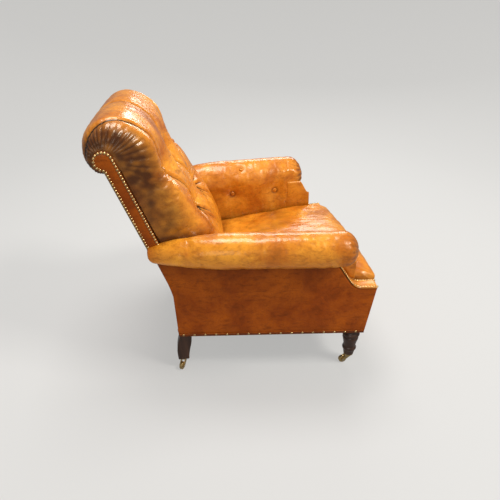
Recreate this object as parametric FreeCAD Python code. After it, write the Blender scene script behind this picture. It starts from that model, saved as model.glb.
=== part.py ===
import FreeCAD, Part
import math
import os

from FreeCAD import Placement, Rotation, Vector

# A deep leather library armchair: beech frame, webbing and coil springs, horsehair pads under
# glossy leather, brass nails, turned front legs, swept rear legs, and a brass castor on each leg.
# Millimetres. X runs across the chair with +X the sitter's left, the chair faces -Y, +Z is up.
# While it is drawn, Y = 0 is the rear face of the base and Z = 0 the floor.

# ---- Body: the upholstered box on its legs ----
HALF_WIDTH_REAR = 280.0      # outer face of a side panel at its rear corner
HALF_WIDTH_FRONT = 346.0     # outer face of a side panel at its front corner
BODY_DEPTH = 617.0           # rear face to front face along the bottom edge
BASE_HEIGHT = 150.0          # underside of the leather body above the floor
FRONT_LEAN = 22.0            # how far the front face leans out at shoulder height
SHOULDER_HEIGHT = 331.0
SHOULDER_FLAT = 47.0         # level stretch of the shoulder, front to back
SHOULDER_RADIUS = 50.0
SHOULDER_SLOPE = 56.0        # degrees, where the shoulder climbs to the arm
SHOULDER_WIDTH = 47.0
LEATHER = 3.0                # leather with its backing
BORDER = 6.0                 # padded front border
GAP = 0.5                    # between a pad and what it lies against

# ---- Back ----
BACK_RAKE = 19.8             # degrees from upright
KNEE_HEIGHT = 305.0          # where the lines of the upright base and the raked back meet
KNEE_RADIUS = 350.0          # of the bend that joins them
BACK_HALF_WIDTH = 294.0      # outer faces of the two facings
BACK_LENGTH = 430.0          # outside back leather, along the rake
BACK_LINE = [                # the padded back from the side, (along the rake, forward of the outside)
    (448.0, -30.0), (500.0, -41.0), (548.0, -14.0), (569.0, 38.0), (550.0, 95.0), (481.0, 143.0),
    (400.0, 156.0), (300.0, 163.0), (215.0, 171.0), (140.0, 189.0), (53.0, 196.0), (-45.0, 184.0),
]
BACK_BASE = 36.0             # underside of the back pad above the canvas
POST_TOP = 480.0             # top of the uprights, along the rake
POST_DEPTH = 38.0
POST_WIDTH = 38.0
FACING_BOTTOM = 190.0        # along the rake
FACING_WIDTH = 41.0
SCROLL_CENTRE = 478.0        # centre of the facing's round head, along the rake
SCROLL_RADIUS = 29.0
FACING_LEATHER = 4.0

# ---- Arms ----
ARM_ROLL_OUT = 35.0          # centre of the roll outside the side panel
ARM_ROLL_HEIGHT = 490.0
ARM_ROLL_HALF_WIDTH = 57.0
ARM_ROLL_HALF_HEIGHT = 54.0
ARM_REAR_HALF_HEIGHT = 27.0  # the roll thins out towards its rear end
ARM_REAR_HALF_WIDTH = 33.0
ARM_REAR_OUT = 12.0          # centre of the thin rear end outside the side panel
ARM_REAR_DROP = 14.0         # and sinks a little
ARM_THINNING = 260.0         # length over which it does so
ARM_SETBACK = 110.0          # the round front end begins this far behind the front face
ARM_NOSE = 48.0
ARM_PANEL_TOP = 452.0        # top of the wall under the roll
ARM_INNER = 46.0             # inner face of the arm, inside the side panel
ARM_INNER_ROUND = (38.0, 46.0)       # half width and half height of the rounded inner edge
ARM_INNER_ROUND_HEIGHT = 472.0
ARM_SHELF = 492.0            # above this the back covers the arm's rear end
ARM_STATIONS = (100.0, 50.0, 0.0, -50.0, -120.0, -210.0, -350.0)
ARM_NOSE_STEPS = (0.45, 0.8, 0.97)   # shares of the nose's length

# ---- Seat ----
SEAT_REAR_HEIGHT = 326.0
SEAT_CREST_HEIGHT = 364.0
SEAT_HALFWAY_HEIGHT = 351.0
SEAT_NOSE_HEIGHT = 340.0
SEAT_NOSE_ROUND = 10.5
SEAT_OVERHANG = 41.0         # foremost point of the seat, beyond the front face
SEAT_CREST_INSET = 32.0      # where the seat is highest, behind the front face
SEAT_BASE_THICK = 35.0       # padding under the back
SEAT_REAR_GAP = 12.0         # from the uprights to the padding

# ---- Wooden frame ----
RAIL_RISE = 10.0             # of the rails above the lower edge of the leather
RAIL_TOP = 248.0
RAIL_THICK = 25.0
ARM_RAIL_DEPTH = 32.0
ARM_POST_WIDTH = 32.0
FRONT_RAIL_THICK = 28.0
FRONT_LEG_INSET = 31.0       # front leg's axis behind the front face
FRONT_LEG_IN = 28.0          # front leg's axis inside the side panel
FRONT_BLOCK = 45.0
FRONT_LEG_TURNING = [        # (radius, height above the foot)
    (0.0, 0.0), (17.5, 0.0), (17.5, 6.0), (20.5, 20.0), (24.0, 24.0), (24.0, 30.0), (20.5, 34.0),
    (27.5, 72.0), (24.0, 77.0), (30.0, 84.0), (30.0, 92.0), (24.0, 98.0),
]
FRONT_LEG_NECK = 24.0        # radius under the square block
LEG_RISE = 2.0               # of the square block above the leather's lower edge
REAR_FOOT_FRONT = -28.0
REAR_FOOT_REAR = 9.0
REAR_SWEEP_REAR = (14.0, -15.0)      # middle of the swept leg: from the rear face, and raised
REAR_SWEEP_FRONT = (-34.0, -10.0)
CREST_RAIL = 50.0
CORNER_REACH = 60.0
CORNER_INSET = 12.0

# ---- Springing ----
WEB_WIDTH = 50.0
WEB_THICK = 2.0
SPRING_TOP = 261.0
SPRING_RADIUS = 34.0
SPRING_WIRE = 3.6
SPRING_TURNS = 5
SPRING_BENDS = 12            # straight lengths of wire in a turn, mitred together
MITRED = 1
SPRING_SPACING = 130.0
SPRING_ROWS = (0.24, 0.5, 0.76)      # shares of the seat frame's depth
WEB_SPACING = 105.0
WEB_FRONT = 4.0              # bare front edge of the front rail
WEB_COLUMNS = (-1.5, -0.5, 0.5, 1.5)
WEB_ROWS = (0.14, 0.38, 0.62, 0.86)
BACK_WEB_COLUMNS = (-150.0, -50.0, 50.0, 150.0)
BACK_WEB_ROWS = (120.0, 220.0, 320.0, 410.0)
WEB_TACKING = 8.0            # how far a web lies on the upright
CANVAS = 1.5
CANVAS_INSET = 8.0
CANVAS_FRONT = 18.0          # from the front rail

# ---- Castors ----
CASTOR_HEIGHT = 40.0         # floor to the underside of a leg
WHEEL_RADIUS = 13.5
WHEEL_WIDTH = 11.0
WHEEL_CLEARANCE = 0.7        # each side, inside the fork
TRAIL = 20.0
AXLE_RADIUS = 2.5
AXLE_RUNNING = 0.06
PINTLE_RADIUS = 4.0
PINTLE_RUNNING = 0.06
PLATE_RADIUS = 16.5
PLATE_THICK = 3.0
EAR = 2.5
CROWN_RADIUS = 9.5
CROWN_THICK = 5.5
CROWN_HALF_WIDTH = 6.5
EAR_BOSS = 5.0
EAR_BOSS_FLAT = 0.7          # share of the boss that the ear's straight edges meet
COLLAR = 1.2
RIVET_THICK = 1.6
RIVET_RADIUS = 5.4
RIVET_ROOM = 6.0
TREAD_ROUND = 2.4
SCREW_CIRCLE = 12.6
SCREW_HEAD = (2.6, 1.6)      # radius and thickness
SCREW_SHANK = (1.4, 15.0)
SWIVEL_GAP = 0.4
REAR_CASTOR_TURN = -65.0     # degrees: the rear castors rest trailing outwards

# ---- Nails and buttons ----
NAIL_RADIUS = 4.3
NAIL_HEIGHT = 2.6
NAIL_PITCH = 9.2
BASE_NAIL_PITCH = 36.0
BASE_NAIL_MARGIN = 20.0
SHOULDER_NAIL_STOP = 30.0    # bare end of the rows, under the arm
BORDER_NAIL_DROP = 9.0       # under the shoulder's height
NAIL_INSET = 5.0
LIFT = 0.2                   # of a nail head or button off the leather under it
BUTTON_RADIUS = 11.0
BUTTON_HEIGHT = 6.0
BUTTON_POCKET = 17.0
ARM_BUTTON_RADIUS = 9.0
ARM_BUTTON_RISE = 4.5
ARM_BUTTON_POCKET = 13.0
BAND_HEIGHT = 12.0
BAND_THICK = 1.5
BUTTON_ROW_TOP = (370.0, 122.0)      # along the rake, and forward of the outside back
BUTTON_ROW_LOW = (203.0, 160.0)
BUTTON_SPACING = 180.0
ARM_BUTTON_INSET = (267.0, 84.0)     # behind the start of the arm's round front end
ARM_BUTTON_HEIGHT = 428.0
ARM_BUTTON_DEPTH = 9.0
ARM_TOP_BUTTON_INSET = 222.0
ARM_TOP_BUTTON = (-44.0, 24.0)       # from the roll's centre: outwards and up
ARM_TOP_BUTTON_TILT = 0.7            # radians from upright, towards the seat

flare = math.atan2(HALF_WIDTH_FRONT - HALF_WIDTH_REAR, BODY_DEPTH)
rake = math.radians(BACK_RAKE)
side_length = BODY_DEPTH / math.cos(flare)
lean = FRONT_LEAN / (SHOULDER_HEIGHT - BASE_HEIGHT)
frame_depth = LEATHER + 1.0
rail_bottom = BASE_HEIGHT + RAIL_RISE
front_leg_back = BODY_DEPTH - FRONT_LEG_INSET
arm_length = BODY_DEPTH - ARM_SETBACK
arm_lean_back = (ARM_PANEL_TOP - KNEE_HEIGHT) * math.tan(rake)
# The uprights are set in to the next whole millimetre inside the top corners of the side panels.
post_outer = math.floor(HALF_WIDTH_REAR - arm_lean_back * math.tan(flare) - LEATHER / math.cos(flare))
facing_inner = BACK_HALF_WIDTH - FACING_LEATHER
pad_back = frame_depth + POST_DEPTH + 2 * CANVAS + GAP
WIDE = 900.0                 # longer than the chair, for cutting tools


# ---- Drawing helpers ----

def edges_yz(steps):
    """Edges of a closed outline in the YZ plane: a point is a straight run, a pair is an arc."""
    edges = []
    here = steps[0]
    for step in list(steps[1:]) + [steps[0]]:
        start = Vector(0, *here)
        if isinstance(step[0], tuple):
            via, end = step
            edges.append(Part.Arc(start, Vector(0, *via), Vector(0, *end)).toShape())
            here = end
        elif step != here:
            edges.append(Part.LineSegment(start, Vector(0, *step)).toShape())
            here = step
    return edges


def prism(steps, x_low, x_high):
    face = Part.Face(Part.Wire(edges_yz(steps)))
    solid = face.extrude(Vector(x_high - x_low, 0, 0))
    solid.translate(Vector(x_low, 0, 0))
    return solid


def block(low, high):
    size = [high[i] - low[i] for i in range(3)]
    return Part.makeBox(size[0], size[1], size[2], Vector(*low))


def raked(along, forward):
    """A point of the back in (y, z): along the rake from the knee, and forward of the outside."""
    y = along * math.sin(rake) - forward * math.cos(rake)
    z = KNEE_HEIGHT + along * math.cos(rake) + forward * math.sin(rake)
    return (y, z)


def knee(forward):
    """The bend from the base to the back, forward of the outside: (start, arc's middle and end)."""
    reach = KNEE_RADIUS * math.tan(rake / 2)
    z_start = KNEE_HEIGHT - reach
    radius = KNEE_RADIUS + forward
    middle = (KNEE_RADIUS - radius * math.cos(rake / 2), z_start + radius * math.sin(rake / 2))
    return (-forward, z_start), (middle, raked(reach, forward))


def knee_down(forward):
    """The same bend, drawn from the back to the base."""
    start, (middle, end) = knee(forward)
    return end, (middle, start)


def on_side(shape):
    """Turn a piece drawn against the plane X = 0 onto the flared left side."""
    placed = shape.copy()
    placed.rotate(Vector(0, 0, 0), Vector(0, 0, 1), math.degrees(flare))
    placed.translate(Vector(HALF_WIDTH_REAR, 0, 0))
    return placed


def mirrored(shape):
    return shape.mirror(Vector(0, 0, 0), Vector(1, 0, 0))


def largest(shape):
    return max(shape.Solids, key=lambda solid: solid.Volume)


def front_y(z):
    """The front face of the border at a height."""
    return -(BODY_DEPTH + (z - BASE_HEIGHT) * lean)


# ---- Outlines that more than one piece follows ----

def shoulder_path(drop):
    """The shoulder from the front edge to the arm, lowered by drop, as (flat, arc, slope) points."""
    slope = math.radians(SHOULDER_SLOPE)
    z_flat = SHOULDER_HEIGHT - drop
    radius = SHOULDER_RADIUS + drop
    y_front = -(side_length + FRONT_LEAN)
    y_arc = y_front + SHOULDER_FLAT
    centre = (y_arc, SHOULDER_HEIGHT + SHOULDER_RADIUS)
    half = (y_arc + radius * math.sin(slope / 2), centre[1] - radius * math.cos(slope / 2))
    end = (y_arc + radius * math.sin(slope), centre[1] - radius * math.cos(slope))
    rise = ARM_PANEL_TOP - end[1]
    top = (end[0] + rise / math.tan(slope), ARM_PANEL_TOP)
    return [(y_front, z_flat), (y_arc, z_flat), (half, end), top]


def facing_outline(inset):
    """The hockey-stick shape of a facing, with a round head that overhangs the outside back."""
    radius = SCROLL_RADIUS - inset
    head = (SCROLL_CENTRE, FACING_WIDTH - SCROLL_RADIUS)
    reach = math.sqrt(radius ** 2 - (head[1] - inset) ** 2)
    neck = (head[0] - reach, inset)
    top = (head[0] + radius * math.cos(0.5), head[1] - radius * math.sin(0.5))
    front = (head[0], head[1] + radius)
    low = FACING_BOTTOM + inset
    return [raked(low, inset), raked(*neck), (raked(*top), raked(*front)), raked(low, front[1])]


def side_prism(forward_of, x_low, x_high, offset):
    """Everything behind a raked plane: the plane lies forward of the outside back by offset."""
    low = raked(-forward_of, offset)
    high = raked(forward_of, offset)
    return prism([low, high, (high[0] + WIDE, high[1]), (low[0] + WIDE, low[1])], x_low, x_high)


pieces = {}


def add(name, shape):
    pieces[name] = shape


def add_pair(name, left):
    pieces[name + "_left"] = left
    pieces[name + "_right"] = mirrored(left)


# ---- Frame ----

def rear_leg():
    """Upright and swept leg, sawn from one board."""
    depth = frame_depth + POST_DEPTH
    middle = (BASE_HEIGHT + CASTOR_HEIGHT) / 2
    frame_low = BASE_HEIGHT - 2 * LEG_RISE
    sweep_rear = (REAR_SWEEP_REAR[0], middle + REAR_SWEEP_REAR[1])
    sweep_front = (REAR_SWEEP_FRONT[0], middle + REAR_SWEEP_FRONT[1])
    outline = [
        (REAR_FOOT_FRONT, CASTOR_HEIGHT),
        (REAR_FOOT_REAR, CASTOR_HEIGHT),
        (sweep_rear, (-frame_depth, frame_low)),
        *knee(frame_depth),
        raked(POST_TOP, frame_depth),
        raked(POST_TOP, depth),
        *knee_down(depth),
        (-depth, frame_low),
        (sweep_front, (REAR_FOOT_FRONT, CASTOR_HEIGHT)),
    ]
    return prism(outline, post_outer - POST_WIDTH, post_outer)


def front_leg():
    """Square block above, turned and ringed below."""
    half = FRONT_BLOCK / 2
    block_low = BASE_HEIGHT + LEG_RISE
    top = block((-half, -half, block_low), (half, half, RAIL_TOP))
    profile = [(radius, CASTOR_HEIGHT + rise) for radius, rise in FRONT_LEG_TURNING]
    profile += [(FRONT_LEG_NECK, block_low), (0.0, block_low)]
    wire = Part.makePolygon([Vector(r, 0, z) for r, z in profile + [profile[0]]])
    turned = Part.Face(wire).revolve(Vector(0, 0, 0), Vector(0, 0, 1), 360)
    leg = top.fuse(turned)
    leg.translate(Vector(-FRONT_LEG_IN, -front_leg_back, 0))
    return on_side(leg.removeSplitter())


def leg_front_axis():
    foot = on_side(Part.Vertex(Vector(-FRONT_LEG_IN, -front_leg_back, 0)))
    return foot.Point


def rear_axis():
    return Vector(post_outer - POST_WIDTH / 2, (REAR_FOOT_REAR + REAR_FOOT_FRONT) / 2, 0)


def build_frame():
    leg = rear_leg()
    front = front_leg()
    post_front = -(frame_depth + POST_DEPTH)
    behind = block((0, post_front, 0), (WIDE, WIDE, RAIL_TOP + GAP))
    behind_arm = side_prism(WIDE, 0, WIDE, frame_depth + POST_DEPTH)

    rail_in = -(LEATHER + RAIL_THICK)
    side = block((rail_in, -front_leg_back, rail_bottom), (-LEATHER, 0, RAIL_TOP))
    side = largest(on_side(side).cut(behind).cut(front))

    shoulder_in = -SHOULDER_WIDTH
    path = shoulder_path(LEATHER)
    shoulder_end = path[3][0] + 2 * GAP
    post_rear = path[3][0] + ARM_POST_WIDTH
    shoulder = [
        (path[0][0] + BORDER, RAIL_TOP),
        (path[0][0] + BORDER, path[0][1]),
        path[1],
        path[2],
        path[3],
        (shoulder_end, ARM_PANEL_TOP),
        (shoulder_end, RAIL_TOP),
    ]
    shoulder_block = on_side(prism(shoulder, shoulder_in, -LEATHER))
    border_space = prism([(front_y(0) + BORDER, 0), (front_y(WIDE) + BORDER, WIDE), (-WIDE * 2, WIDE),
                          (-WIDE * 2, 0)], -WIDE, WIDE)
    shoulder_block = shoulder_block.cut(border_space)

    rail_low = ARM_PANEL_TOP - ARM_RAIL_DEPTH
    arm_post = block((rail_in, shoulder_end, RAIL_TOP), (-LEATHER, post_rear, rail_low))
    arm_rail = block((rail_in, shoulder_end, rail_low), (-LEATHER, WIDE, ARM_PANEL_TOP))
    arm_rail = largest(on_side(arm_rail).cut(behind_arm))

    rail_front = [
        (front_y(rail_bottom) + BORDER, rail_bottom),
        (front_y(RAIL_TOP) + BORDER, RAIL_TOP),
        (front_y(rail_bottom) + BORDER + FRONT_RAIL_THICK, RAIL_TOP),
        (front_y(rail_bottom) + BORDER + FRONT_RAIL_THICK, rail_bottom),
    ]
    front_rail = prism(rail_front, -HALF_WIDTH_FRONT, HALF_WIDTH_FRONT)
    leg_zone = block((-FRONT_BLOCK / 2, -WIDE, 0), (WIDE, WIDE, WIDE))
    leg_zone.translate(Vector(-FRONT_LEG_IN, 0, 0))
    leg_zone = on_side(leg_zone)
    front_rail = largest(front_rail.cut(leg_zone).cut(mirrored(leg_zone)))

    inner = post_outer - POST_WIDTH
    rear_rail = block((-inner, post_front, rail_bottom), (inner, post_front + RAIL_THICK, RAIL_TOP))
    frame_front = frame_depth + POST_DEPTH
    lower = [raked(0, frame_depth), raked(CREST_RAIL, frame_depth), raked(CREST_RAIL, frame_front),
             raked(0, frame_front)]
    crest = [raked(POST_TOP - CREST_RAIL, frame_depth), raked(POST_TOP, frame_depth),
             raked(POST_TOP, frame_front), raked(POST_TOP - CREST_RAIL, frame_front)]

    add("front_rail", front_rail)
    add("rear_rail", rear_rail)
    add_pair("side_rail", side)
    add_pair("rear_leg", leg)
    add_pair("front_leg", front)
    add_pair("arm_post", on_side(arm_post))
    add_pair("arm_rail", arm_rail)
    add_pair("shoulder_block", shoulder_block)
    add("crest_rail", prism(crest, -inner, inner))
    add("back_lower_rail", prism(lower, -inner, inner))
    cover_top = BACK_LENGTH + 4 * GAP
    cover = [raked(0, -WIDE), raked(cover_top, -WIDE), raked(cover_top, frame_depth),
             raked(0, frame_depth)]
    board = prism(facing_outline(1.0), post_outer, facing_inner).cut(prism(cover, 0, WIDE))
    add_pair("scroll_board", board)
    build_corner_blocks(side, front_rail, rear_rail, front, leg)


def build_corner_blocks(side, front_rail, rear_rail, front, leg):
    """Glued triangular blocks inside the four corners of the seat frame."""
    low = rail_bottom + CORNER_INSET
    high = RAIL_TOP - CORNER_INSET
    blocks = []
    front_inner = front_y(rail_bottom) + BORDER + FRONT_RAIL_THICK
    rear_inner = -(frame_depth + POST_DEPTH)
    for y_corner, step in ((front_inner, 1), (rear_inner, -1)):
        x_rail = HALF_WIDTH_REAR - y_corner * math.tan(flare) - (LEATHER + RAIL_THICK) / math.cos(flare)
        x_corner = x_rail + LEATHER
        points = [(x_corner, y_corner), (x_corner - CORNER_REACH, y_corner),
                  (x_corner, y_corner + step * CORNER_REACH)]
        wire = Part.makePolygon([Vector(x, y, low) for x, y in points + [points[0]]])
        wedge = Part.Face(wire).extrude(Vector(0, 0, high - low))
        for neighbour in (side, front_rail, rear_rail, front, leg):
            wedge = wedge.cut(neighbour)
        blocks.append(largest(wedge))
    blocks += [mirrored(wedge) for wedge in blocks]
    add("corner_blocks", Part.makeCompound(blocks))


# ---- Springing ----

def spring(x, y):
    z = rail_bottom + SPRING_WIRE / 2 + LIFT / 2
    height = SPRING_TOP - rail_bottom - SPRING_WIRE - LIFT
    steps = SPRING_TURNS * SPRING_BENDS
    points = []
    for k in range(steps + 1):
        angle = 2 * math.pi * k / SPRING_BENDS
        reach = Vector(math.cos(angle), math.sin(angle), 0) * SPRING_RADIUS
        points.append(Vector(x, y, z + height * k / steps) + reach)
    wire = Part.makePolygon(points)
    section = Part.Wire(Part.makeCircle(SPRING_WIRE / 2, points[0], points[1] - points[0]))
    return wire.makePipeShell([section], True, False, MITRED)


def inner_half_width(y, inside):
    """Half the width between the two sides at a depth, measured inside the side panels."""
    return HALF_WIDTH_REAR - y * math.tan(flare) - inside / math.cos(flare)


def build_springing():
    y_rear = -(frame_depth + POST_DEPTH)
    y_front = front_y(rail_bottom) + BORDER + WEB_FRONT
    rail_in = LEATHER + RAIL_THICK
    straps = []
    for column in WEB_COLUMNS:
        x = column * WEB_SPACING
        straps.append(block((x - WEB_WIDTH / 2, y_front, rail_bottom - WEB_THICK),
                            (x + WEB_WIDTH / 2, y_rear + RAIL_THICK, rail_bottom)))
    for row in WEB_ROWS:
        y = y_rear + row * (y_front - y_rear)
        half = inner_half_width(y + WEB_WIDTH / 2, rail_in) + RAIL_THICK / 2
        straps.append(block((-half, y - WEB_WIDTH / 2, rail_bottom - 2 * WEB_THICK),
                            (half, y + WEB_WIDTH / 2, rail_bottom - WEB_THICK)))
    add("seat_webbing", Part.makeCompound(straps))

    coils = []
    for row in SPRING_ROWS:
        for column in (-1, 0, 1):
            coils.append(spring(column * SPRING_SPACING, y_rear + row * (y_front - y_rear)))
    add("seat_springs", Part.makeCompound(coils))

    inside = ARM_INNER + CANVAS_INSET
    y_back = y_rear - CANVAS_INSET
    y_edge = front_y(rail_bottom) + BORDER + FRONT_RAIL_THICK + CANVAS_FRONT
    corners = [(inner_half_width(y_back, inside), y_back), (inner_half_width(y_edge, inside), y_edge),
               (-inner_half_width(y_edge, inside), y_edge), (-inner_half_width(y_back, inside), y_back)]
    wire = Part.makePolygon([Vector(x, y, SPRING_TOP) for x, y in corners + [corners[0]]])
    add("spring_canvas", Part.Face(wire).extrude(Vector(0, 0, CANVAS)))

    y_edge = front_y(BASE_HEIGHT) + BORDER + 2.0 * LEG_RISE
    y_back = -(LEATHER + LEG_RISE)
    under = LEATHER + LEG_RISE
    corners = [(inner_half_width(y_back, under), y_back), (inner_half_width(y_edge, under), y_edge),
               (-inner_half_width(y_edge, under), y_edge), (-inner_half_width(y_back, under), y_back)]
    z_cover = rail_bottom - 2 * WEB_THICK - CANVAS - 2 * GAP
    wire = Part.makePolygon([Vector(x, y, z_cover) for x, y in corners + [corners[0]]])
    cover = Part.Face(wire).extrude(Vector(0, 0, CANVAS))
    for name in ("rear_leg_left", "rear_leg_right", "front_leg_left", "front_leg_right"):
        cover = cover.cut(pieces[name])
    add("dust_cover", largest(cover))

    front = frame_depth + POST_DEPTH
    straps = []
    low = WEB_TACKING
    high = POST_TOP - WEB_TACKING
    for x in BACK_WEB_COLUMNS:
        strap = [raked(low, front), raked(high, front), raked(high, front + CANVAS),
                 raked(low, front + CANVAS)]
        straps.append(prism(strap, x - WEB_WIDTH / 2, x + WEB_WIDTH / 2))
    for along in BACK_WEB_ROWS:
        low = along - WEB_WIDTH / 2
        high = along + WEB_WIDTH / 2
        strap = [raked(low, front + CANVAS), raked(high, front + CANVAS), raked(high, front + 2 * CANVAS),
                 raked(low, front + 2 * CANVAS)]
        half = post_outer - POST_WIDTH + WEB_TACKING
        straps.append(prism(strap, -half, half))
    add("back_webbing", Part.makeCompound(straps))


# ---- Leather panels ----

def build_panels():
    path = shoulder_path(LEATHER)
    rear_top = raked((ARM_PANEL_TOP - KNEE_HEIGHT) / math.cos(rake), 0)
    side = [
        (0.0, BASE_HEIGHT),
        (-side_length, BASE_HEIGHT),
        path[0],
        path[1],
        path[2],
        path[3],
        (rear_top[0], ARM_PANEL_TOP),
        *knee_down(0.0),
    ]
    add_pair("side_panel", on_side(prism(side, -LEATHER, 0)))

    shelf = (ARM_SHELF - KNEE_HEIGHT) / math.cos(rake)
    lower = [(0.0, BASE_HEIGHT), *knee(0.0), raked(shelf, 0), raked(shelf, LEATHER), *knee_down(LEATHER),
             (-LEATHER, BASE_HEIGHT)]
    upper = [raked(shelf, 0), raked(BACK_LENGTH, 0), raked(BACK_LENGTH, LEATHER), raked(shelf, LEATHER)]
    low_half = post_outer - 2 * GAP
    back = prism(lower, -low_half, low_half)
    back = back.fuse(prism(upper, -(facing_inner - GAP), facing_inner - GAP)).removeSplitter()
    add("outside_back_panel", back)

    top = SHOULDER_HEIGHT - LEATHER
    border = [(front_y(BASE_HEIGHT), BASE_HEIGHT), (front_y(top), top), (front_y(top) + BORDER, top),
              (front_y(BASE_HEIGHT) + BORDER, BASE_HEIGHT)]
    border = prism(border, -HALF_WIDTH_FRONT, HALF_WIDTH_FRONT)
    outside = on_side(block((-LEATHER, -WIDE, 0), (WIDE, WIDE, WIDE)))
    border = largest(border.cut(outside).cut(mirrored(outside)))
    add("front_border", border)

    add_pair("back_facing", prism(facing_outline(0.0), facing_inner, BACK_HALF_WIDTH))

    upper_path = shoulder_path(0.0)
    lower_arc = (path[2][0], path[1])
    cap = upper_path + [path[3], path[2][1], lower_arc, path[0]]
    add_pair("shoulder_cap", on_side(prism(cap, -SHOULDER_WIDTH, 0)))

    band_top = BASE_HEIGHT + BAND_HEIGHT
    side_band = block((0, BAND_THICK - side_length, BASE_HEIGHT), (BAND_THICK, -BAND_THICK, band_top))
    bands = [on_side(side_band)]
    bands.append(mirrored(bands[0]))
    half = HALF_WIDTH_FRONT - 2 * LEATHER
    strip = [(front_y(BASE_HEIGHT) - BAND_THICK, BASE_HEIGHT), (front_y(BASE_HEIGHT), BASE_HEIGHT),
             (front_y(band_top), band_top), (front_y(band_top) - BAND_THICK, band_top)]
    bands.append(prism(strip, -half, half))
    rear = HALF_WIDTH_REAR - BAND_HEIGHT
    bands.append(block((-rear, 0, BASE_HEIGHT), (rear, BAND_THICK, band_top)))
    add("base_banding", Part.makeCompound(bands))


# ---- Pads ----

def back_profile(grow):
    """The padded back and its rolled-over head from the side, as one smooth curve and a base."""
    points = [(BACK_LENGTH + 4 * GAP, frame_depth - GAP)] + BACK_LINE
    outer = [raked(along, forward + grow) for along, forward in points]
    curve = Part.BSplineCurve()
    curve.interpolate([Vector(0, *point) for point in outer])
    base_z = SPRING_TOP + CANVAS + BACK_BASE
    low_front = (outer[-1][0] + CANVAS, base_z)
    along_low = (base_z - KNEE_HEIGHT - pad_back * math.sin(rake)) / math.cos(rake)
    top = POST_TOP + GAP
    tail = [outer[-1], low_front, raked(along_low, pad_back), raked(top, pad_back),
            raked(top, frame_depth - GAP + grow), outer[0]]
    edges = [curve.toShape()]
    for start, end in zip(tail, tail[1:]):
        edges.append(Part.LineSegment(Vector(0, *start), Vector(0, *end)).toShape())
    return Part.Face(Part.Wire(edges))


def back_solid(half, grow):
    solid = back_profile(grow).extrude(Vector(2 * half, 0, 0))
    solid.translate(Vector(-half, 0, 0))
    return solid


def oval(x, y, z, half_width, half_height):
    longer = max(half_width, half_height)
    shorter = min(half_width, half_height)
    edge = Part.Ellipse(Vector(0, 0, 0), longer, shorter).toShape()
    if half_height > half_width:
        edge.rotate(Vector(0, 0, 0), Vector(0, 0, 1), 90)
    edge.rotate(Vector(0, 0, 0), Vector(1, 0, 0), 90)
    edge.translate(Vector(x, y, z))
    return Part.Wire(edge)


def arm_section(y, share):
    """The roll's oval outline at a depth: it thins and sinks towards the rear."""
    rear = raked((ARM_PANEL_TOP - KNEE_HEIGHT) / math.cos(rake), 0)[0]
    thin = max(0.0, 1 - (rear - y) / ARM_THINNING) ** 2
    half_width = ARM_ROLL_HALF_WIDTH + (ARM_REAR_HALF_WIDTH - ARM_ROLL_HALF_WIDTH) * thin
    half_height = ARM_ROLL_HALF_HEIGHT + (ARM_REAR_HALF_HEIGHT - ARM_ROLL_HALF_HEIGHT) * thin
    height = ARM_ROLL_HEIGHT - ARM_REAR_DROP * thin
    out = ARM_ROLL_OUT + (ARM_REAR_OUT - ARM_ROLL_OUT) * thin
    return oval(out, y, height, half_width * share, half_height * share)


def arm_pad():
    sections = [arm_section(y, 1.0) for y in ARM_STATIONS + (-arm_length,)]
    for turn in ARM_NOSE_STEPS:
        share = math.sqrt(1 - turn ** 2)
        sections.append(arm_section(-(arm_length + ARM_NOSE * turn), share))
    roll = Part.makeLoft(sections, True)
    slab_front = shoulder_path(LEATHER)[3][0] + 3 * GAP
    rear = ARM_STATIONS[0]
    round_x = ARM_INNER_ROUND[0] - ARM_INNER
    inner_roll = Part.Face(oval(round_x, rear, ARM_INNER_ROUND_HEIGHT, *ARM_INNER_ROUND))
    inner_roll = inner_roll.extrude(Vector(0, -(rear + arm_length + ARM_NOSE / 3), 0))
    inner_low = SPRING_TOP + CANVAS + GAP
    inner = block((-ARM_INNER, slab_front, inner_low), (-LEATHER, rear, ARM_INNER_ROUND_HEIGHT))
    pad = roll.fuse(inner_roll).fuse(inner)
    wall = block((-(LEATHER + RAIL_THICK + GAP), -WIDE, 0), (GAP, WIDE, ARM_PANEL_TOP + GAP))
    shoulder = block((-(SHOULDER_WIDTH + GAP), -WIDE, 0), (GAP, slab_front, ARM_PANEL_TOP + GAP))
    pad = on_side(pad.cut(wall).cut(shoulder))
    beside = BACK_HALF_WIDTH + NAIL_HEIGHT + GAP
    behind = side_prism(WIDE, -WIDE, beside, pad_back)
    rear_end = side_prism(WIDE, -WIDE, WIDE, 0.0)
    above = block((0, -WIDE, ARM_SHELF - GAP), (BACK_HALF_WIDTH + GAP, WIDE, WIDE))
    back = back_solid(BACK_HALF_WIDTH + GAP, GAP).common(above)
    return largest(pad.cut(behind).cut(rear_end).cut(back))


def pocket(base, normal, radius):
    return Part.makeCylinder(radius, SHOULDER_WIDTH + ARM_INNER, base, normal)


def dome(base, normal, radius, height):
    """A round head: the part of a ball above its rim."""
    ball = (radius ** 2 + height ** 2) / (2 * height)
    rim = math.degrees(math.asin((ball - height) / ball))
    cap = Part.makeSphere(ball, Vector(0, 0, height - ball), Vector(0, 0, 1), rim, 90, 360)
    cap.Placement = Placement(base, Rotation(Vector(0, 0, 1), normal)).multiply(cap.Placement)
    return cap


def back_button_places():
    places = []
    for column in (-1, 0, 1):
        y, z = raked(*BUTTON_ROW_TOP)
        places.append(Vector(column * BUTTON_SPACING, y, z))
    for column in (-0.5, 0.5):
        y, z = raked(*BUTTON_ROW_LOW)
        places.append(Vector(column * BUTTON_SPACING, y, z))
    return places


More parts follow.
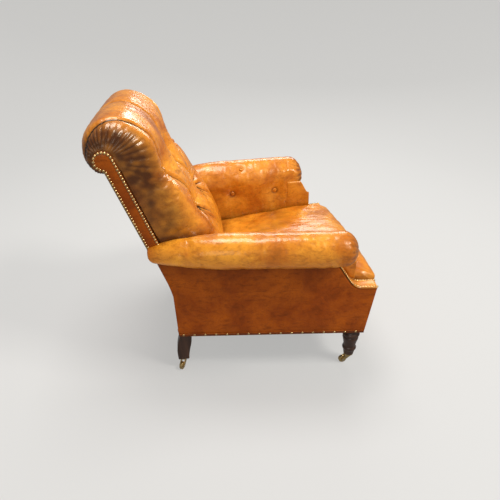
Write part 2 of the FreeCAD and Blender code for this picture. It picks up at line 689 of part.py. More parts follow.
def arm_button_places():
    """On the left arm's inner face, as (point, inward normal), in the arm's own flared frame."""
    places = []
    for inset in ARM_BUTTON_INSET:
        back = arm_length - inset
        places.append((Vector(-ARM_INNER + ARM_BUTTON_DEPTH, -back, ARM_BUTTON_HEIGHT), Vector(-1, 0, 0)))
    normal = Vector(-math.sin(ARM_TOP_BUTTON_TILT), 0, math.cos(ARM_TOP_BUTTON_TILT))
    out, rise = ARM_TOP_BUTTON
    crest = Vector(ARM_ROLL_OUT + out, ARM_TOP_BUTTON_INSET - arm_length, ARM_ROLL_HEIGHT + rise)
    places.append((crest, normal))
    return places


def build_pads():
    arm = arm_pad()
    arm_buttons = []
    for base, normal in arm_button_places():
        hole = on_side(pocket(base, normal, ARM_BUTTON_POCKET))
        arm = largest(arm.cut(hole))
        button = on_side(dome(base + normal * LIFT, normal, ARM_BUTTON_RADIUS, ARM_BUTTON_RISE))
        arm_buttons += [button, mirrored(button)]
    add_pair("arm_pad", arm)
    add("arm_buttons", Part.makeCompound(arm_buttons))

    back = back_solid(facing_inner - GAP, 0.0)
    arm_space = block((-(ARM_INNER + GAP), -WIDE, 0), (WIDE, WIDE, ARM_SHELF))
    arm_space = on_side(arm_space)
    boards = prism(facing_outline(0.5), post_outer - GAP, WIDE)
    for tool in (arm_space, mirrored(arm_space), boards, mirrored(boards)):
        back = back.cut(tool)
    normal = Vector(0, -math.cos(rake), math.sin(rake))
    back_buttons = []
    for base in back_button_places():
        back = back.cut(pocket(base, normal, BUTTON_POCKET))
        back_buttons.append(dome(base + normal * LIFT, normal, BUTTON_RADIUS, BUTTON_HEIGHT))
    add("back_pad", largest(back))
    add("back_buttons", Part.makeCompound(back_buttons))
    add("seat_pad", seat_pad())


def seat_pad():
    """Stuffed top over the springs, crowned to the front, with a rolled nose over the border."""
    floor = SPRING_TOP + CANVAS + 0.2
    under_back = floor + SEAT_BASE_THICK
    rear = -(frame_depth + POST_DEPTH + SEAT_REAR_GAP)
    back_front = raked(*BACK_LINE[-1])[0] - 4 * GAP
    crest = -(BODY_DEPTH - SEAT_CREST_INSET)
    halfway = (back_front + crest) / 2
    nose = -(BODY_DEPTH + SEAT_OVERHANG)
    border_top = SHOULDER_HEIGHT - LEATHER
    border_in = front_y(RAIL_TOP) + BORDER + GAP
    nose_low = border_top + GAP
    profile = [
        (rear, floor),
        (rear, under_back),
        (back_front, under_back),
        (back_front, SEAT_REAR_HEIGHT),
        ((halfway, SEAT_HALFWAY_HEIGHT), (crest, SEAT_CREST_HEIGHT)),
        ((nose + SEAT_NOSE_ROUND, SEAT_CREST_HEIGHT - SEAT_NOSE_ROUND), (nose, SEAT_NOSE_HEIGHT)),
        (nose + SEAT_NOSE_ROUND, nose_low),
        (front_y(border_top) + BORDER + GAP, nose_low),
        (border_in, RAIL_TOP + GAP),
        (border_in + FRONT_RAIL_THICK + LEATHER, RAIL_TOP + GAP),
        (border_in + FRONT_RAIL_THICK + SEAT_REAR_GAP, floor),
    ]
    pad = prism(profile, -HALF_WIDTH_FRONT, HALF_WIDTH_FRONT)
    side = on_side(block((-(SHOULDER_WIDTH + GAP), -WIDE, 0), (WIDE, WIDE, WIDE)))
    pad = pad.cut(side).cut(mirrored(side))
    return largest(pad)


# ---- Nails ----

def spaced(length, pitch):
    count = max(2, int(round(length / pitch)) + 1)
    return [length * i / (count - 1) for i in range(count)]


def nails_along(edges, pitch, normal, lift):
    """Domed nail heads at an even pitch along a chain of edges in the YZ plane."""
    heads = []
    wire = Part.Wire(edges)
    for point in wire.discretize(Number=len(spaced(wire.Length, pitch))):
        heads.append(dome(point + normal * lift, normal, NAIL_RADIUS, NAIL_HEIGHT))
    return heads


def build_nails():
    row = edges_yz(facing_outline(NAIL_INSET))
    heads = nails_along(row, NAIL_PITCH, Vector(1, 0, 0), BACK_HALF_WIDTH + LIFT)
    add_pair("facing_nails", Part.makeCompound(heads[:-1]))

    path = shoulder_path(0.0)
    edges = edges_yz([path[0], path[1], path[2], path[3]])[:-1]
    wire = Part.Wire(edges)
    heads = []
    visible = wire.Length - SHOULDER_NAIL_STOP
    for station in spaced(visible, NAIL_PITCH):
        point = point_at(edges, station)
        tangent = point_at(edges, station + 0.5) - point_at(edges, max(0.0, station - 0.5))
        tangent.normalize()
        normal = Vector(0, -tangent.z, tangent.y)
        if normal.z < 0:
            normal = normal * -1
        for inside in (NAIL_INSET, SHOULDER_WIDTH - NAIL_INSET):
            base = Vector(-inside, point.y, point.z) + normal * LIFT
            heads.append(on_side(dome(base, normal, NAIL_RADIUS, NAIL_HEIGHT)))
    heads += [mirrored(head) for head in heads]
    half = inner_half_width(front_y(SHOULDER_HEIGHT), SHOULDER_WIDTH)
    z = SHOULDER_HEIGHT - BORDER_NAIL_DROP
    normal = Vector(0, -math.cos(math.atan(lean)), -math.sin(math.atan(lean)))
    for x in spaced(2 * half, NAIL_PITCH):
        heads.append(dome(Vector(x - half, front_y(z), z) + normal * LIFT, normal, NAIL_RADIUS, NAIL_HEIGHT))
    add("shoulder_nails", Part.makeCompound(heads))

    z = BASE_HEIGHT + BAND_HEIGHT / 2
    heads = []
    for station in spaced(side_length - 2 * BASE_NAIL_MARGIN, BASE_NAIL_PITCH):
        base = Vector(BAND_THICK + LIFT, -BASE_NAIL_MARGIN - station, z)
        head = on_side(dome(base, Vector(1, 0, 0), NAIL_RADIUS, NAIL_HEIGHT))
        heads += [head, mirrored(head)]
    half = HALF_WIDTH_FRONT - BASE_NAIL_MARGIN
    for x in spaced(2 * half, BASE_NAIL_PITCH):
        base = Vector(x - half, front_y(z) - BAND_THICK, z) + normal * LIFT
        heads.append(dome(base, normal, NAIL_RADIUS, NAIL_HEIGHT))
    half = HALF_WIDTH_REAR - BAND_HEIGHT - NAIL_PITCH
    for x in spaced(2 * half, BASE_NAIL_PITCH):
        base = Vector(x - half, BAND_THICK + LIFT, z)
        heads.append(dome(base, Vector(0, 1, 0), NAIL_RADIUS, NAIL_HEIGHT))
    add("base_nails", Part.makeCompound(heads))


def point_at(edges, distance):
    """The point a distance along a chain of edges that run head to tail."""
    left = distance
    for edge in edges:
        if left <= edge.Length:
            return edge.valueAt(edge.getParameterByLength(left))
        left -= edge.Length
    return edges[-1].valueAt(edges[-1].LastParameter)


# ---- Castors ----

def castor_pieces(axis, turn):
    """Plate with pintle, fork, axle and wheel of one castor, standing on the floor at axis."""
    plate_low = CASTOR_HEIGHT - PLATE_THICK
    crown_top = plate_low - COLLAR - SWIVEL_GAP
    crown_low = crown_top - CROWN_THICK
    across = Vector(1, 0, 0)
    plate = Part.makeCylinder(PLATE_RADIUS, PLATE_THICK, Vector(0, 0, plate_low))
    plate = plate.fuse(Part.makeCylinder(CROWN_RADIUS - COLLAR, COLLAR, Vector(0, 0, plate_low - COLLAR)))
    rivet_low = crown_low - SWIVEL_GAP - RIVET_THICK
    foot = Vector(0, 0, rivet_low)
    plate = plate.fuse(Part.makeCylinder(PINTLE_RADIUS, plate_low - rivet_low, foot))
    plate = plate.fuse(Part.makeCylinder(RIVET_RADIUS, RIVET_THICK, foot))

    inside = WHEEL_WIDTH / 2 + WHEEL_CLEARANCE
    outside = inside + EAR
    flat = EAR_BOSS * EAR_BOSS_FLAT
    crown = Part.makeCylinder(CROWN_RADIUS, CROWN_THICK, Vector(0, 0, crown_low))
    ear_outline = [(-CROWN_HALF_WIDTH, crown_low), (-CROWN_HALF_WIDTH, crown_top),
                   (CROWN_HALF_WIDTH, crown_top), (TRAIL + flat, WHEEL_RADIUS + flat),
                   (TRAIL - flat, WHEEL_RADIUS - flat)]
    ears = []
    for low in (inside, -outside):
        ear = prism(ear_outline, low, low + EAR)
        boss = Part.makeCylinder(EAR_BOSS, EAR, Vector(low, TRAIL, WHEEL_RADIUS), across)
        ears.append(ear.fuse(boss))
    bridge = block((-outside, -CROWN_HALF_WIDTH, crown_low), (outside, CROWN_HALF_WIDTH, crown_top))
    horn = crown.fuse(bridge).fuse(ears[0]).fuse(ears[1])
    bore_low = Vector(0, 0, crown_low - CASTOR_HEIGHT / 2)
    horn = horn.cut(Part.makeCylinder(PINTLE_RADIUS + PINTLE_RUNNING, CASTOR_HEIGHT, bore_low))
    horn = horn.cut(Part.makeCylinder(RIVET_ROOM, RIVET_ROOM * 2, Vector(0, 0, crown_low - RIVET_ROOM * 2)))
    bore_start = Vector(-CASTOR_HEIGHT, TRAIL, WHEEL_RADIUS)
    horn = horn.cut(Part.makeCylinder(AXLE_RADIUS, 2 * CASTOR_HEIGHT, bore_start, across))
    horn = largest(horn.removeSplitter())
    axle_half = outside + COLLAR
    axle = Part.makeCylinder(AXLE_RADIUS, 2 * axle_half, Vector(-axle_half, TRAIL, WHEEL_RADIUS), across)
    wheel_side = Vector(-WHEEL_WIDTH / 2, TRAIL, WHEEL_RADIUS)
    wheel = Part.makeCylinder(WHEEL_RADIUS, WHEEL_WIDTH, wheel_side, across)
    rims = [edge for edge in wheel.Edges if isinstance(edge.Curve, Part.Circle)]
    wheel = wheel.makeFillet(TREAD_ROUND, rims)
    wheel = wheel.cut(Part.makeCylinder(AXLE_RADIUS + AXLE_RUNNING, 2 * CASTOR_HEIGHT, bore_start, across))
    parts = {"plate": plate.removeSplitter(), "horn": horn, "axle": axle, "wheel": wheel}
    for shape in parts.values():
        shape.rotate(Vector(0, 0, 0), Vector(0, 0, 1), turn)
        shape.translate(Vector(axis.x, axis.y, 0))
    return parts


def build_castors():
    screws = []
    for end, axis, turn in (("front", leg_front_axis(), 0.0), ("rear", rear_axis(), REAR_CASTOR_TURN)):
        parts = castor_pieces(axis, turn)
        leg_name = end + "_leg_left"
        for i in range(3):
            angle = math.radians(90 + 120 * i)
            spot = Vector(axis.x + SCREW_CIRCLE * math.cos(angle), axis.y + SCREW_CIRCLE * math.sin(angle),
                          CASTOR_HEIGHT - PLATE_THICK)
            head = Part.makeCylinder(*SCREW_HEAD, spot)
            screw = head.fuse(Part.makeCylinder(*SCREW_SHANK, spot))
            screw = screw.removeSplitter()
            parts["plate"] = parts["plate"].cut(screw)
            pieces[leg_name] = pieces[leg_name].cut(screw)
            screws += [screw, mirrored(screw)]
        pieces[end + "_leg_right"] = mirrored(pieces[leg_name])
        for part, shape in parts.items():
            add_pair("castor_" + part + "_" + end, shape)
    add("castor_screws", Part.makeCompound(screws))


# ---- Whole chair ----

def main():
    build_frame()
    build_springing()
    build_panels()
    build_pads()
    build_nails()
    build_castors()

    rear_most = pieces["back_pad"].optimalBoundingBox(False, False).YMax
    front_most = pieces["seat_pad"].optimalBoundingBox(False, False).YMin
    centre = Vector(0, -(front_most + rear_most) / 2, 0)
    os.makedirs("parts", exist_ok=True)
    for name, shape in pieces.items():
        shape.translate(centre)
        shape.exportStep("parts/" + name + ".step")
    front = leg_front_axis() + centre
    rear = rear_axis() + centre
    print("pieces", len(pieces), "depth", round(rear_most - front_most, 1))
    print("moved by", round(centre.x, 3), round(centre.y, 3), round(centre.z, 3))
    print("front castor axis", round(front.x, 3), round(front.y, 3))
    print("rear castor axis", round(rear.x, 3), round(rear.y, 3))


main()
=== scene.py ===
import math

import bmesh
import bpy
import numpy as np
from bpy.props import FloatProperty, FloatVectorProperty, IntProperty, PointerProperty
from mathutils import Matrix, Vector, noise


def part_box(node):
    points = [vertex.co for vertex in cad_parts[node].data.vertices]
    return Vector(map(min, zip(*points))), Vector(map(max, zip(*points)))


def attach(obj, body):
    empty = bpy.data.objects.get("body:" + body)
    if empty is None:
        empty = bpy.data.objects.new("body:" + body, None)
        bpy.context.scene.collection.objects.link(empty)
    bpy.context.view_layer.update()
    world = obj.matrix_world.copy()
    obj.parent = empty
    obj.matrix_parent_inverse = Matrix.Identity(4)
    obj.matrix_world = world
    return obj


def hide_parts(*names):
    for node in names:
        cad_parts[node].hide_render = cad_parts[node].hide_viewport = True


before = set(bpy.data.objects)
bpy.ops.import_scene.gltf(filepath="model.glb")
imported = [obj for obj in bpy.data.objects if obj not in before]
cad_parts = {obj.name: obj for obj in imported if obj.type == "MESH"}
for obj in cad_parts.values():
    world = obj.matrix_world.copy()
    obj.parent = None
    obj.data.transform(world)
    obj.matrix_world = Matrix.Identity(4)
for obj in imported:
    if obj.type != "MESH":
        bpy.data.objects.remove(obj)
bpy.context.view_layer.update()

bl_info = {
    "name": "Leather Library Armchair",
    "version": (1, 0, 0),
    "blender": (4, 5, 0),
    "location": "View3D > Sidebar > Armchair",
    "description": "Buttoned leather armchair with scrolled back, nailed facings and brass castors",
    "category": "Add Mesh",
}

# ---- The chair's lines, in metres ----
RAKE = math.radians(19.8)
KNEE_HEIGHT = 0.305
KNEE_RADIUS = 0.350
BODY_DEPTH = 0.617
FLARE = math.atan2(0.066, BODY_DEPTH)
REAR_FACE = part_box("base_banding")[1][1] - 0.0015
HALF_REAR = 0.280
SIDE_LENGTH = BODY_DEPTH / math.cos(FLARE)
FRONT_LEAN = 0.022 / 0.181
BASE_HEIGHT = 0.150
SHOULDER_HEIGHT = 0.331
SHOULDER_WIDTH = 0.047
ARM_TOP_WALL = 0.452
ARM_PAD_FOOT = 0.268                # lower edge of the arm's inner face
SHOULDER_REAR = 0.4837              # where the shoulder meets the wall under the arm's roll
INNER_SHOULDER_REAR = 0.476         # rear edge of the leather inside the shoulder
HEAD_HALF_WIDTH = 0.2895            # of the padded back at its rolled head
CAMERA_PLACE = (-1.4626, 0.1533, 1.1168)
CAMERA_BACKWARD = (-0.8677, 0.1231, 0.4818)
FACING_PLANE = 0.294
HEAD_CENTRE = (0.478, 0.012)
HEAD_RADIUS = 0.029
BODY = "chair"


def raked(along, forward):
    """A point of the back as (y, z): along the rake from the knee, forward of the outside."""
    y = REAR_FACE + along * math.sin(RAKE) - forward * math.cos(RAKE)
    return (y, KNEE_HEIGHT + along * math.cos(RAKE) + forward * math.sin(RAKE))


def side_point(out, back, height, hand):
    """A point beside the chair: out from the side panel, back from the rear face along it."""
    x = HALF_REAR + out * math.cos(FLARE) + back * math.sin(FLARE)
    y = REAR_FACE + out * math.sin(FLARE) - back * math.cos(FLARE)
    return (hand * x, y, height)


def side_normal(out, up, hand):
    """A direction square to the side's length: out of the side and up."""
    return Vector((hand * out * math.cos(FLARE), out * math.sin(FLARE), up)).normalized()


def knee_back(height):
    """How far behind the rear face the outside back lies at a height."""
    reach = KNEE_RADIUS * math.tan(RAKE / 2)
    rise = height - (KNEE_HEIGHT - reach)
    if rise <= 0:
        return 0.0
    if rise < KNEE_RADIUS * math.sin(RAKE):
        return KNEE_RADIUS - math.sqrt(KNEE_RADIUS ** 2 - rise ** 2)
    return (height - KNEE_HEIGHT) * math.tan(RAKE)


def front_y(height):
    return REAR_FACE - (BODY_DEPTH + (height - BASE_HEIGHT) * FRONT_LEAN)


def ease(value):
    value = min(1.0, max(0.0, value))
    return value * value * (3 - 2 * value)


def curve_through(points, spacing):
    """Points at an even spacing along a smooth curve through the given ones."""
    pts = [np.array(p, dtype=float) for p in points]
    pts = [2 * pts[0] - pts[1]] + pts + [2 * pts[-1] - pts[-2]]
    fine = []
    for a, b, c, d in zip(pts, pts[1:], pts[2:], pts[3:]):
        for step in range(24):
            t = step / 24
            fine.append(0.5 * ((2 * b) + (c - a) * t + (2 * a - 5 * b + 4 * c - d) * t ** 2
                               + (3 * b - a - 3 * c + d) * t ** 3))
    fine.append(pts[-2])
    return evenly(fine, spacing)


def evenly(points, spacing):
    """A chain of points resampled at an even spacing, its ends kept."""
    pts = np.array(points, dtype=float)
    gaps = np.linalg.norm(np.diff(pts, axis=0), axis=1)
    run = np.concatenate([[0.0], np.cumsum(gaps)])
    count = max(2, int(round(run[-1] / spacing)) + 1)
    stations = np.linspace(0, run[-1], count)
    return [tuple(np.interp(s, run, pts[:, k]) for k in range(pts.shape[1])) for s in stations]


# ---- Mesh making ----

def new_object(name, points, faces, values=None):
    """A closed mesh as an object, with its doubles merged and its faces turned outwards."""
    mesh = bpy.data.meshes.new(name)
    mesh.from_pydata([tuple(p) for p in points], [], faces)
    for label, data in (values or {}).items():
        layer = mesh.attributes.new(label, "FLOAT", "POINT")
        layer.data.foreach_set("value", np.asarray(data, dtype=np.float32))
    shape = bmesh.new()
    shape.from_mesh(mesh)
    bmesh.ops.remove_doubles(shape, verts=shape.verts, dist=0.00002)
    bmesh.ops.dissolve_degenerate(shape, edges=shape.edges, dist=0.00001)
    bmesh.ops.triangulate(shape, faces=[f for f in shape.faces if len(f.verts) > 4])
    bmesh.ops.recalc_face_normals(shape, faces=shape.faces)
    shape.to_mesh(mesh)
    shape.free()
    mesh.polygons.foreach_set("use_smooth", [True] * len(mesh.polygons))
    made = bpy.data.objects.new(name, mesh)
    bpy.context.scene.collection.objects.link(made)
    return made


def loft(name, rings, values=None, caps=True):
    """Closed rings of equal count joined into a tube, with both ends closed."""
    rows, count = len(rings), len(rings[0])
    points = [p for ring in rings for p in ring]
    faces = []
    for r in range(rows - 1):
        for i in range(count):
            j = (i + 1) % count
            faces.append((r * count + i, r * count + j, (r + 1) * count + j, (r + 1) * count + i))
    if caps:
        faces.append(tuple(range(count)))
        faces.append(tuple(range((rows - 1) * count, rows * count)))
    return new_object(name, points, faces, values)


def shell(name, front, back, values=None):
    """Two grids of the same size, one behind the other, closed round their rim."""
    rows, cols = len(front), len(front[0])
    points = [p for row in front for p in row] + [p for row in back for p in row]
    size = rows * cols
    faces = []
    for r in range(rows - 1):
        for c in range(cols - 1):
            a, b = r * cols + c, r * cols + c + 1
            d, e = a + cols, b + cols
            faces.append((a, b, e, d))
            faces.append((size + a, size + d, size + e, size + b))
    rim = [c for c in range(cols)] + [r * cols + cols - 1 for r in range(1, rows)]
    rim += [(rows - 1) * cols + c for c in range(cols - 2, -1, -1)]
    rim += [r * cols for r in range(rows - 2, 0, -1)]
    for a, b in zip(rim, rim[1:] + rim[:1]):
        faces.append((a, size + a, size + b, b))
    return new_object(name, points, faces, values)


def turned(name, centre, profile, segments=32):
    """A lathe-turned piece about an upright line: (radius, height) from the bottom up."""
    rings = []
    for radius, height in profile:
        rings.append([(centre[0] + radius * math.cos(2 * math.pi * k / segments),
                       centre[1] + radius * math.sin(2 * math.pi * k / segments), height)
                      for k in range(segments)])
    return loft(name, rings)


def keep_modifiers(piece):
    """Make the piece's modifiers part of its mesh."""
    graph = bpy.context.evaluated_depsgraph_get()
    mesh = bpy.data.meshes.new_from_object(piece.evaluated_get(graph))
    old = piece.data
    piece.modifiers.clear()
    piece.data = mesh
    bpy.data.meshes.remove(old)


def subdivide(piece, levels=1):
    smooth = piece.modifiers.new("Smooth", "SUBSURF")
    smooth.levels = levels
    smooth.render_levels = levels
    keep_modifiers(piece)


def read_points(piece):
    data = np.zeros(len(piece.data.vertices) * 3)
    piece.data.vertices.foreach_get("co", data)
    return data.reshape(-1, 3)


def read_normals(piece):
    data = np.zeros(len(piece.data.vertices) * 3)
    piece.data.vertices.foreach_get("normal", data)
    return data.reshape(-1, 3)


def read_value(piece, label):
    data = np.zeros(len(piece.data.vertices))
    piece.data.attributes[label].data.foreach_get("value", data)
    return data


def write_points(piece, points):
    piece.data.vertices.foreach_set("co", np.asarray(points, dtype=np.float32).ravel())
    piece.data.update()


def write_value(piece, label, data):
    layer = piece.data.attributes.get(label) or piece.data.attributes.new(label, "FLOAT", "POINT")
    layer.data.foreach_set("value", np.asarray(data, dtype=np.float32))


def plump(piece, held, pressure, cap, slack=0.0, frames=20):
    """Swell a pad like filled cloth: points with a held value of 1 stay, others move up to cap."""
    before = read_points(piece)
    group = piece.vertex_groups.new(name="held")
    for index, weight in enumerate(held):
        if weight > 0:
            group.add([index], float(weight), "REPLACE")
    cloth = piece.modifiers.new("Cloth", "CLOTH")
    settings = cloth.settings
    settings.quality = 6
    settings.mass = 0.4
    settings.tension_stiffness = 25
    settings.compression_stiffness = 25
    settings.shear_stiffness = 12
    settings.bending_stiffness = 0.6
    settings.use_pressure = True
    settings.uniform_pressure_force = pressure
    settings.shrink_min = -slack
    settings.vertex_group_mass = "held"
    settings.effector_weights.gravity = 0
    cloth.point_cache.frame_start = 1
    cloth.point_cache.frame_end = frames
    scene = bpy.context.scene
    for step in range(1, frames + 1):
        scene.frame_set(step)
    graph = bpy.context.evaluated_depsgraph_get()
    result = piece.evaluated_get(graph).to_mesh()
    after = np.zeros(len(before) * 3)
    result.vertices.foreach_get("co", after)
    piece.evaluated_get(graph).to_mesh_clear()
    piece.modifiers.clear()
    piece.vertex_groups.clear()
    move = after.reshape(-1, 3) - before
    length = np.linalg.norm(move, axis=1)
    length[length == 0] = 1.0
    reach = cap * np.tanh(length / cap)
    write_points(piece, before + move * (reach / length)[:, None])
    scene.frame_set(1)


def finish_piece(piece, material, body=BODY, nodes=()):
    """Give a piece its material and its body, and hide the CAD nodes it stands for."""
    if material:
        piece.data.materials.clear()
        piece.data.materials.append(material)
    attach(piece, body)
    if nodes:
        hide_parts(*nodes)
    return piece


def groove(distance, width):
    """The pinch of a pleat across its line: deep at the line, soft beside it."""
    return np.exp(-np.abs(distance) / width)


def wrinkles(points, scale, stretch, seed):
    """Smooth noise from -1 to 1 at each point, drawn out along the axes by stretch."""
    shift = Vector((seed * 7.3, seed * 3.1, seed * 5.7))
    return np.array([noise.noise(Vector((p[0] * scale / stretch[0], p[1] * scale / stretch[1],
                                         p[2] * scale / stretch[2])) + shift) for p in points])


# ---- Settings ----

def size(name, text, value, low=0.0, high=1.0):
    return FloatProperty(name=name, description=text, default=value, min=low, max=high,
                         unit="LENGTH", subtype="DISTANCE")


def colour(name, text, value):
    return FloatVectorProperty(name=name, description=text, default=value, min=0.0, max=1.0,
                               size=3, subtype="COLOR")


class FinishSettings(bpy.types.PropertyGroup):
    light: colour("Light tan", "Leather where the dye is worn thin", (0.86, 0.335, 0.024))
    middle: colour("Cognac", "Leather's main colour", (0.52, 0.140, 0.0055))
    dark: colour("Dark brown", "Leather in its folds and shaded patches", (0.052, 0.0110, 0.0020))
    # Outside colours: a darker copy of the cognac colours, painted shade for the outside faces.
    shaded_side_light: colour("Side light", "Light patches of the outside leather", (0.44, 0.092, 0.0020))
    shaded_side_middle: colour("Side brown", "Main colour of the outside leather", (0.26, 0.044, 0.0010))
    wood: colour("Walnut", "Stained walnut of the legs", (0.052, 0.0200, 0.0085))
    brass: colour("Brass", "Nails and castors", (0.86, 0.60, 0.26))
    gloss: FloatProperty(name="Roughness", description="Roughness of the waxed leather",
                         default=0.30, min=0.05, max=1.0, subtype="FACTOR")


class BackSettings(bpy.types.PropertyGroup):
    spacing: size("Spacing", "Mesh spacing before smoothing", 0.0062)
    edge: size("Edge roundness", "Width of the rounded side of the padded back", 0.078)
    button_depth: size("Upper button depth", "How deep the upper buttons pull the leather in", 0.038)
    low_depth: size("Lower button depth", "How deep the lower buttons pull the leather in", 0.020)
    button_reach: size("Button reach", "How far a button's pull spreads", 0.050)
    pleat_depth: size("Pleat depth", "Depth of a pleat at its button", 0.014)
    pleat_width: size("Pleat width", "Half width of a pleat", 0.010)
    gathers: IntProperty(name="Gathers", description="Folds round each scrolled end",
                         default=34, min=0, max=80)


class ArmSettings(bpy.types.PropertyGroup):
    spacing: size("Spacing", "Mesh spacing before smoothing", 0.0078)
    button_depth: size("Button depth", "How deep a button pulls the leather in", 0.013)
    button_reach: size("Button reach", "How far a button's pull spreads", 0.024)


class SeatSettings(bpy.types.PropertyGroup):
    spacing: size("Spacing", "Mesh spacing before smoothing", 0.009)
    side_round: size("Side roundness", "Radius of the seat's side edges", 0.026)
    crown: size("Crown", "Rise of the seat's middle", 0.010)


class NailSettings(bpy.types.PropertyGroup):
    radius: size("Head radius", "Radius of a nail head", 0.0041)
    height: size("Head height", "Height of a nail head", 0.0030)
    pitch: size("Pitch", "Distance between close nails", 0.0091)
    base_pitch: size("Base pitch", "Distance between the base nails", 0.036)
    seed: IntProperty(name="Seed", description="Pattern of the small differences", default=7)


class StageSettings(bpy.types.PropertyGroup):
    floor: colour("Floor", "Pale floor", (0.27, 0.2685, 0.2655))
    backdrop: colour("Backdrop", "Even light of the backdrop", (0.405, 0.402, 0.393))
    key: FloatProperty(name="Key light", description="Power of the main light", default=180.0,
                       unit="POWER")
    fill: FloatProperty(name="Fill light", description="Power of the fill light", default=16.0,
                        unit="POWER")
    far: FloatProperty(name="Far light", description="Power of the light beyond the far arm", default=30.0,
                       unit="POWER")
    lens: FloatProperty(name="Lens", description="Focal length on a 36 mm sensor", default=32.05)


class ArmchairSettings(bpy.types.PropertyGroup):
    finish: PointerProperty(type=FinishSettings)
    back: PointerProperty(type=BackSettings)
    arm: PointerProperty(type=ArmSettings)
    seat: PointerProperty(type=SeatSettings)
    nail: PointerProperty(type=NailSettings)
    stage: PointerProperty(type=StageSettings)


# ---- Materials ----

class Nodes:
    """A short way to build one material's nodes."""

    def __init__(self, name):
        self.material = bpy.data.materials.new(name)
        self.material.use_nodes = True
        self.tree = self.material.node_tree
        self.shader = next(n for n in self.tree.nodes if n.type == "BSDF_PRINCIPLED")
        self.where = self.tree.nodes.new("ShaderNodeTexCoord").outputs["Object"]

    def link(self, source, node, socket):
        self.tree.links.new(source, node.inputs[socket])

    def set(self, socket, value):
        self.shader.inputs[socket].default_value = value

    def scaled(self, scale, turn=(0.0, 0.0, 0.0)):
        node = self.tree.nodes.new("ShaderNodeMapping")
        node.inputs["Scale"].default_value = scale
        node.inputs["Rotation"].default_value = turn
        self.link(self.where, node, "Vector")
        return node.outputs["Vector"]

    def noise(self, scale, detail=3.0, rough=0.5, distortion=0.0, vector=None):
        node = self.tree.nodes.new("ShaderNodeTexNoise")
        node.inputs["Scale"].default_value = scale
        node.inputs["Detail"].default_value = detail
        node.inputs["Roughness"].default_value = rough
        node.inputs["Distortion"].default_value = distortion
        self.link(vector or self.where, node, "Vector")
        return node.outputs["Fac"]

    def cells(self, scale, feature="F1", vector=None):
        node = self.tree.nodes.new("ShaderNodeTexVoronoi")
        node.feature = feature
        node.inputs["Scale"].default_value = scale
        self.link(vector or self.where, node, "Vector")
        return node.outputs["Distance"]

    def wave(self, scale, distortion, vector):
        node = self.tree.nodes.new("ShaderNodeTexWave")
        node.inputs["Scale"].default_value = scale
        node.inputs["Distortion"].default_value = distortion
        node.inputs["Detail"].default_value = 3.0
        node.inputs["Detail Scale"].default_value = 1.4
        self.link(vector, node, "Vector")
        return node.outputs["Fac"]

    def ramp(self, source, stops):
        node = self.tree.nodes.new("ShaderNodeValToRGB")
        band = node.color_ramp
        while len(band.elements) < len(stops):
            band.elements.new(0.5)
        for element, (place, value) in zip(band.elements, stops):
            element.position = place
            element.color = value if len(value) == 4 else (*value, 1.0)
        self.link(source, node, "Fac")
        return node.outputs["Color"]

    def grey(self, source, low, high, start=0.0, end=1.0):
        node = self.tree.nodes.new("ShaderNodeMapRange")
        node.inputs["From Min"].default_value = start
        node.inputs["From Max"].default_value = end
        node.inputs["To Min"].default_value = low
        node.inputs["To Max"].default_value = high
        self.link(source, node, "Value")
        return node.outputs["Result"]

    def value(self, label):
        node = self.tree.nodes.new("ShaderNodeAttribute")
        node.attribute_name = label
        return node.outputs["Fac"]

    def mix(self, share, first, second, blend="MIX"):
        node = self.tree.nodes.new("ShaderNodeMix")
        node.data_type = "RGBA"
        node.blend_type = blend
        sockets = [s for s in node.inputs if s.type == "RGBA"]
        if isinstance(share, (int, float)):
            node.inputs["Factor"].default_value = share
        else:
            self.link(share, node, "Factor")
        for source, socket in ((first, sockets[0]), (second, sockets[1])):
            if isinstance(source, tuple):
                socket.default_value = (*source, 1.0)
            else:
                self.tree.links.new(source, socket)
        return next(s for s in node.outputs if s.type == "RGBA")

    def math(self, kind, first, second):
        node = self.tree.nodes.new("ShaderNodeMath")
        node.operation = kind
        for index, source in enumerate((first, second)):
            if isinstance(source, (int, float)):
                node.inputs[index].default_value = source
            else:
                self.link(source, node, index)
        return node.outputs["Value"]

    def bump(self, height, strength, distance, before=None):
        node = self.tree.nodes.new("ShaderNodeBump")
        node.inputs["Strength"].default_value = strength
        node.inputs["Distance"].default_value = distance
        self.link(height, node, "Height")
        if before:
            self.link(before, node, "Normal")
        return node.outputs["Normal"]


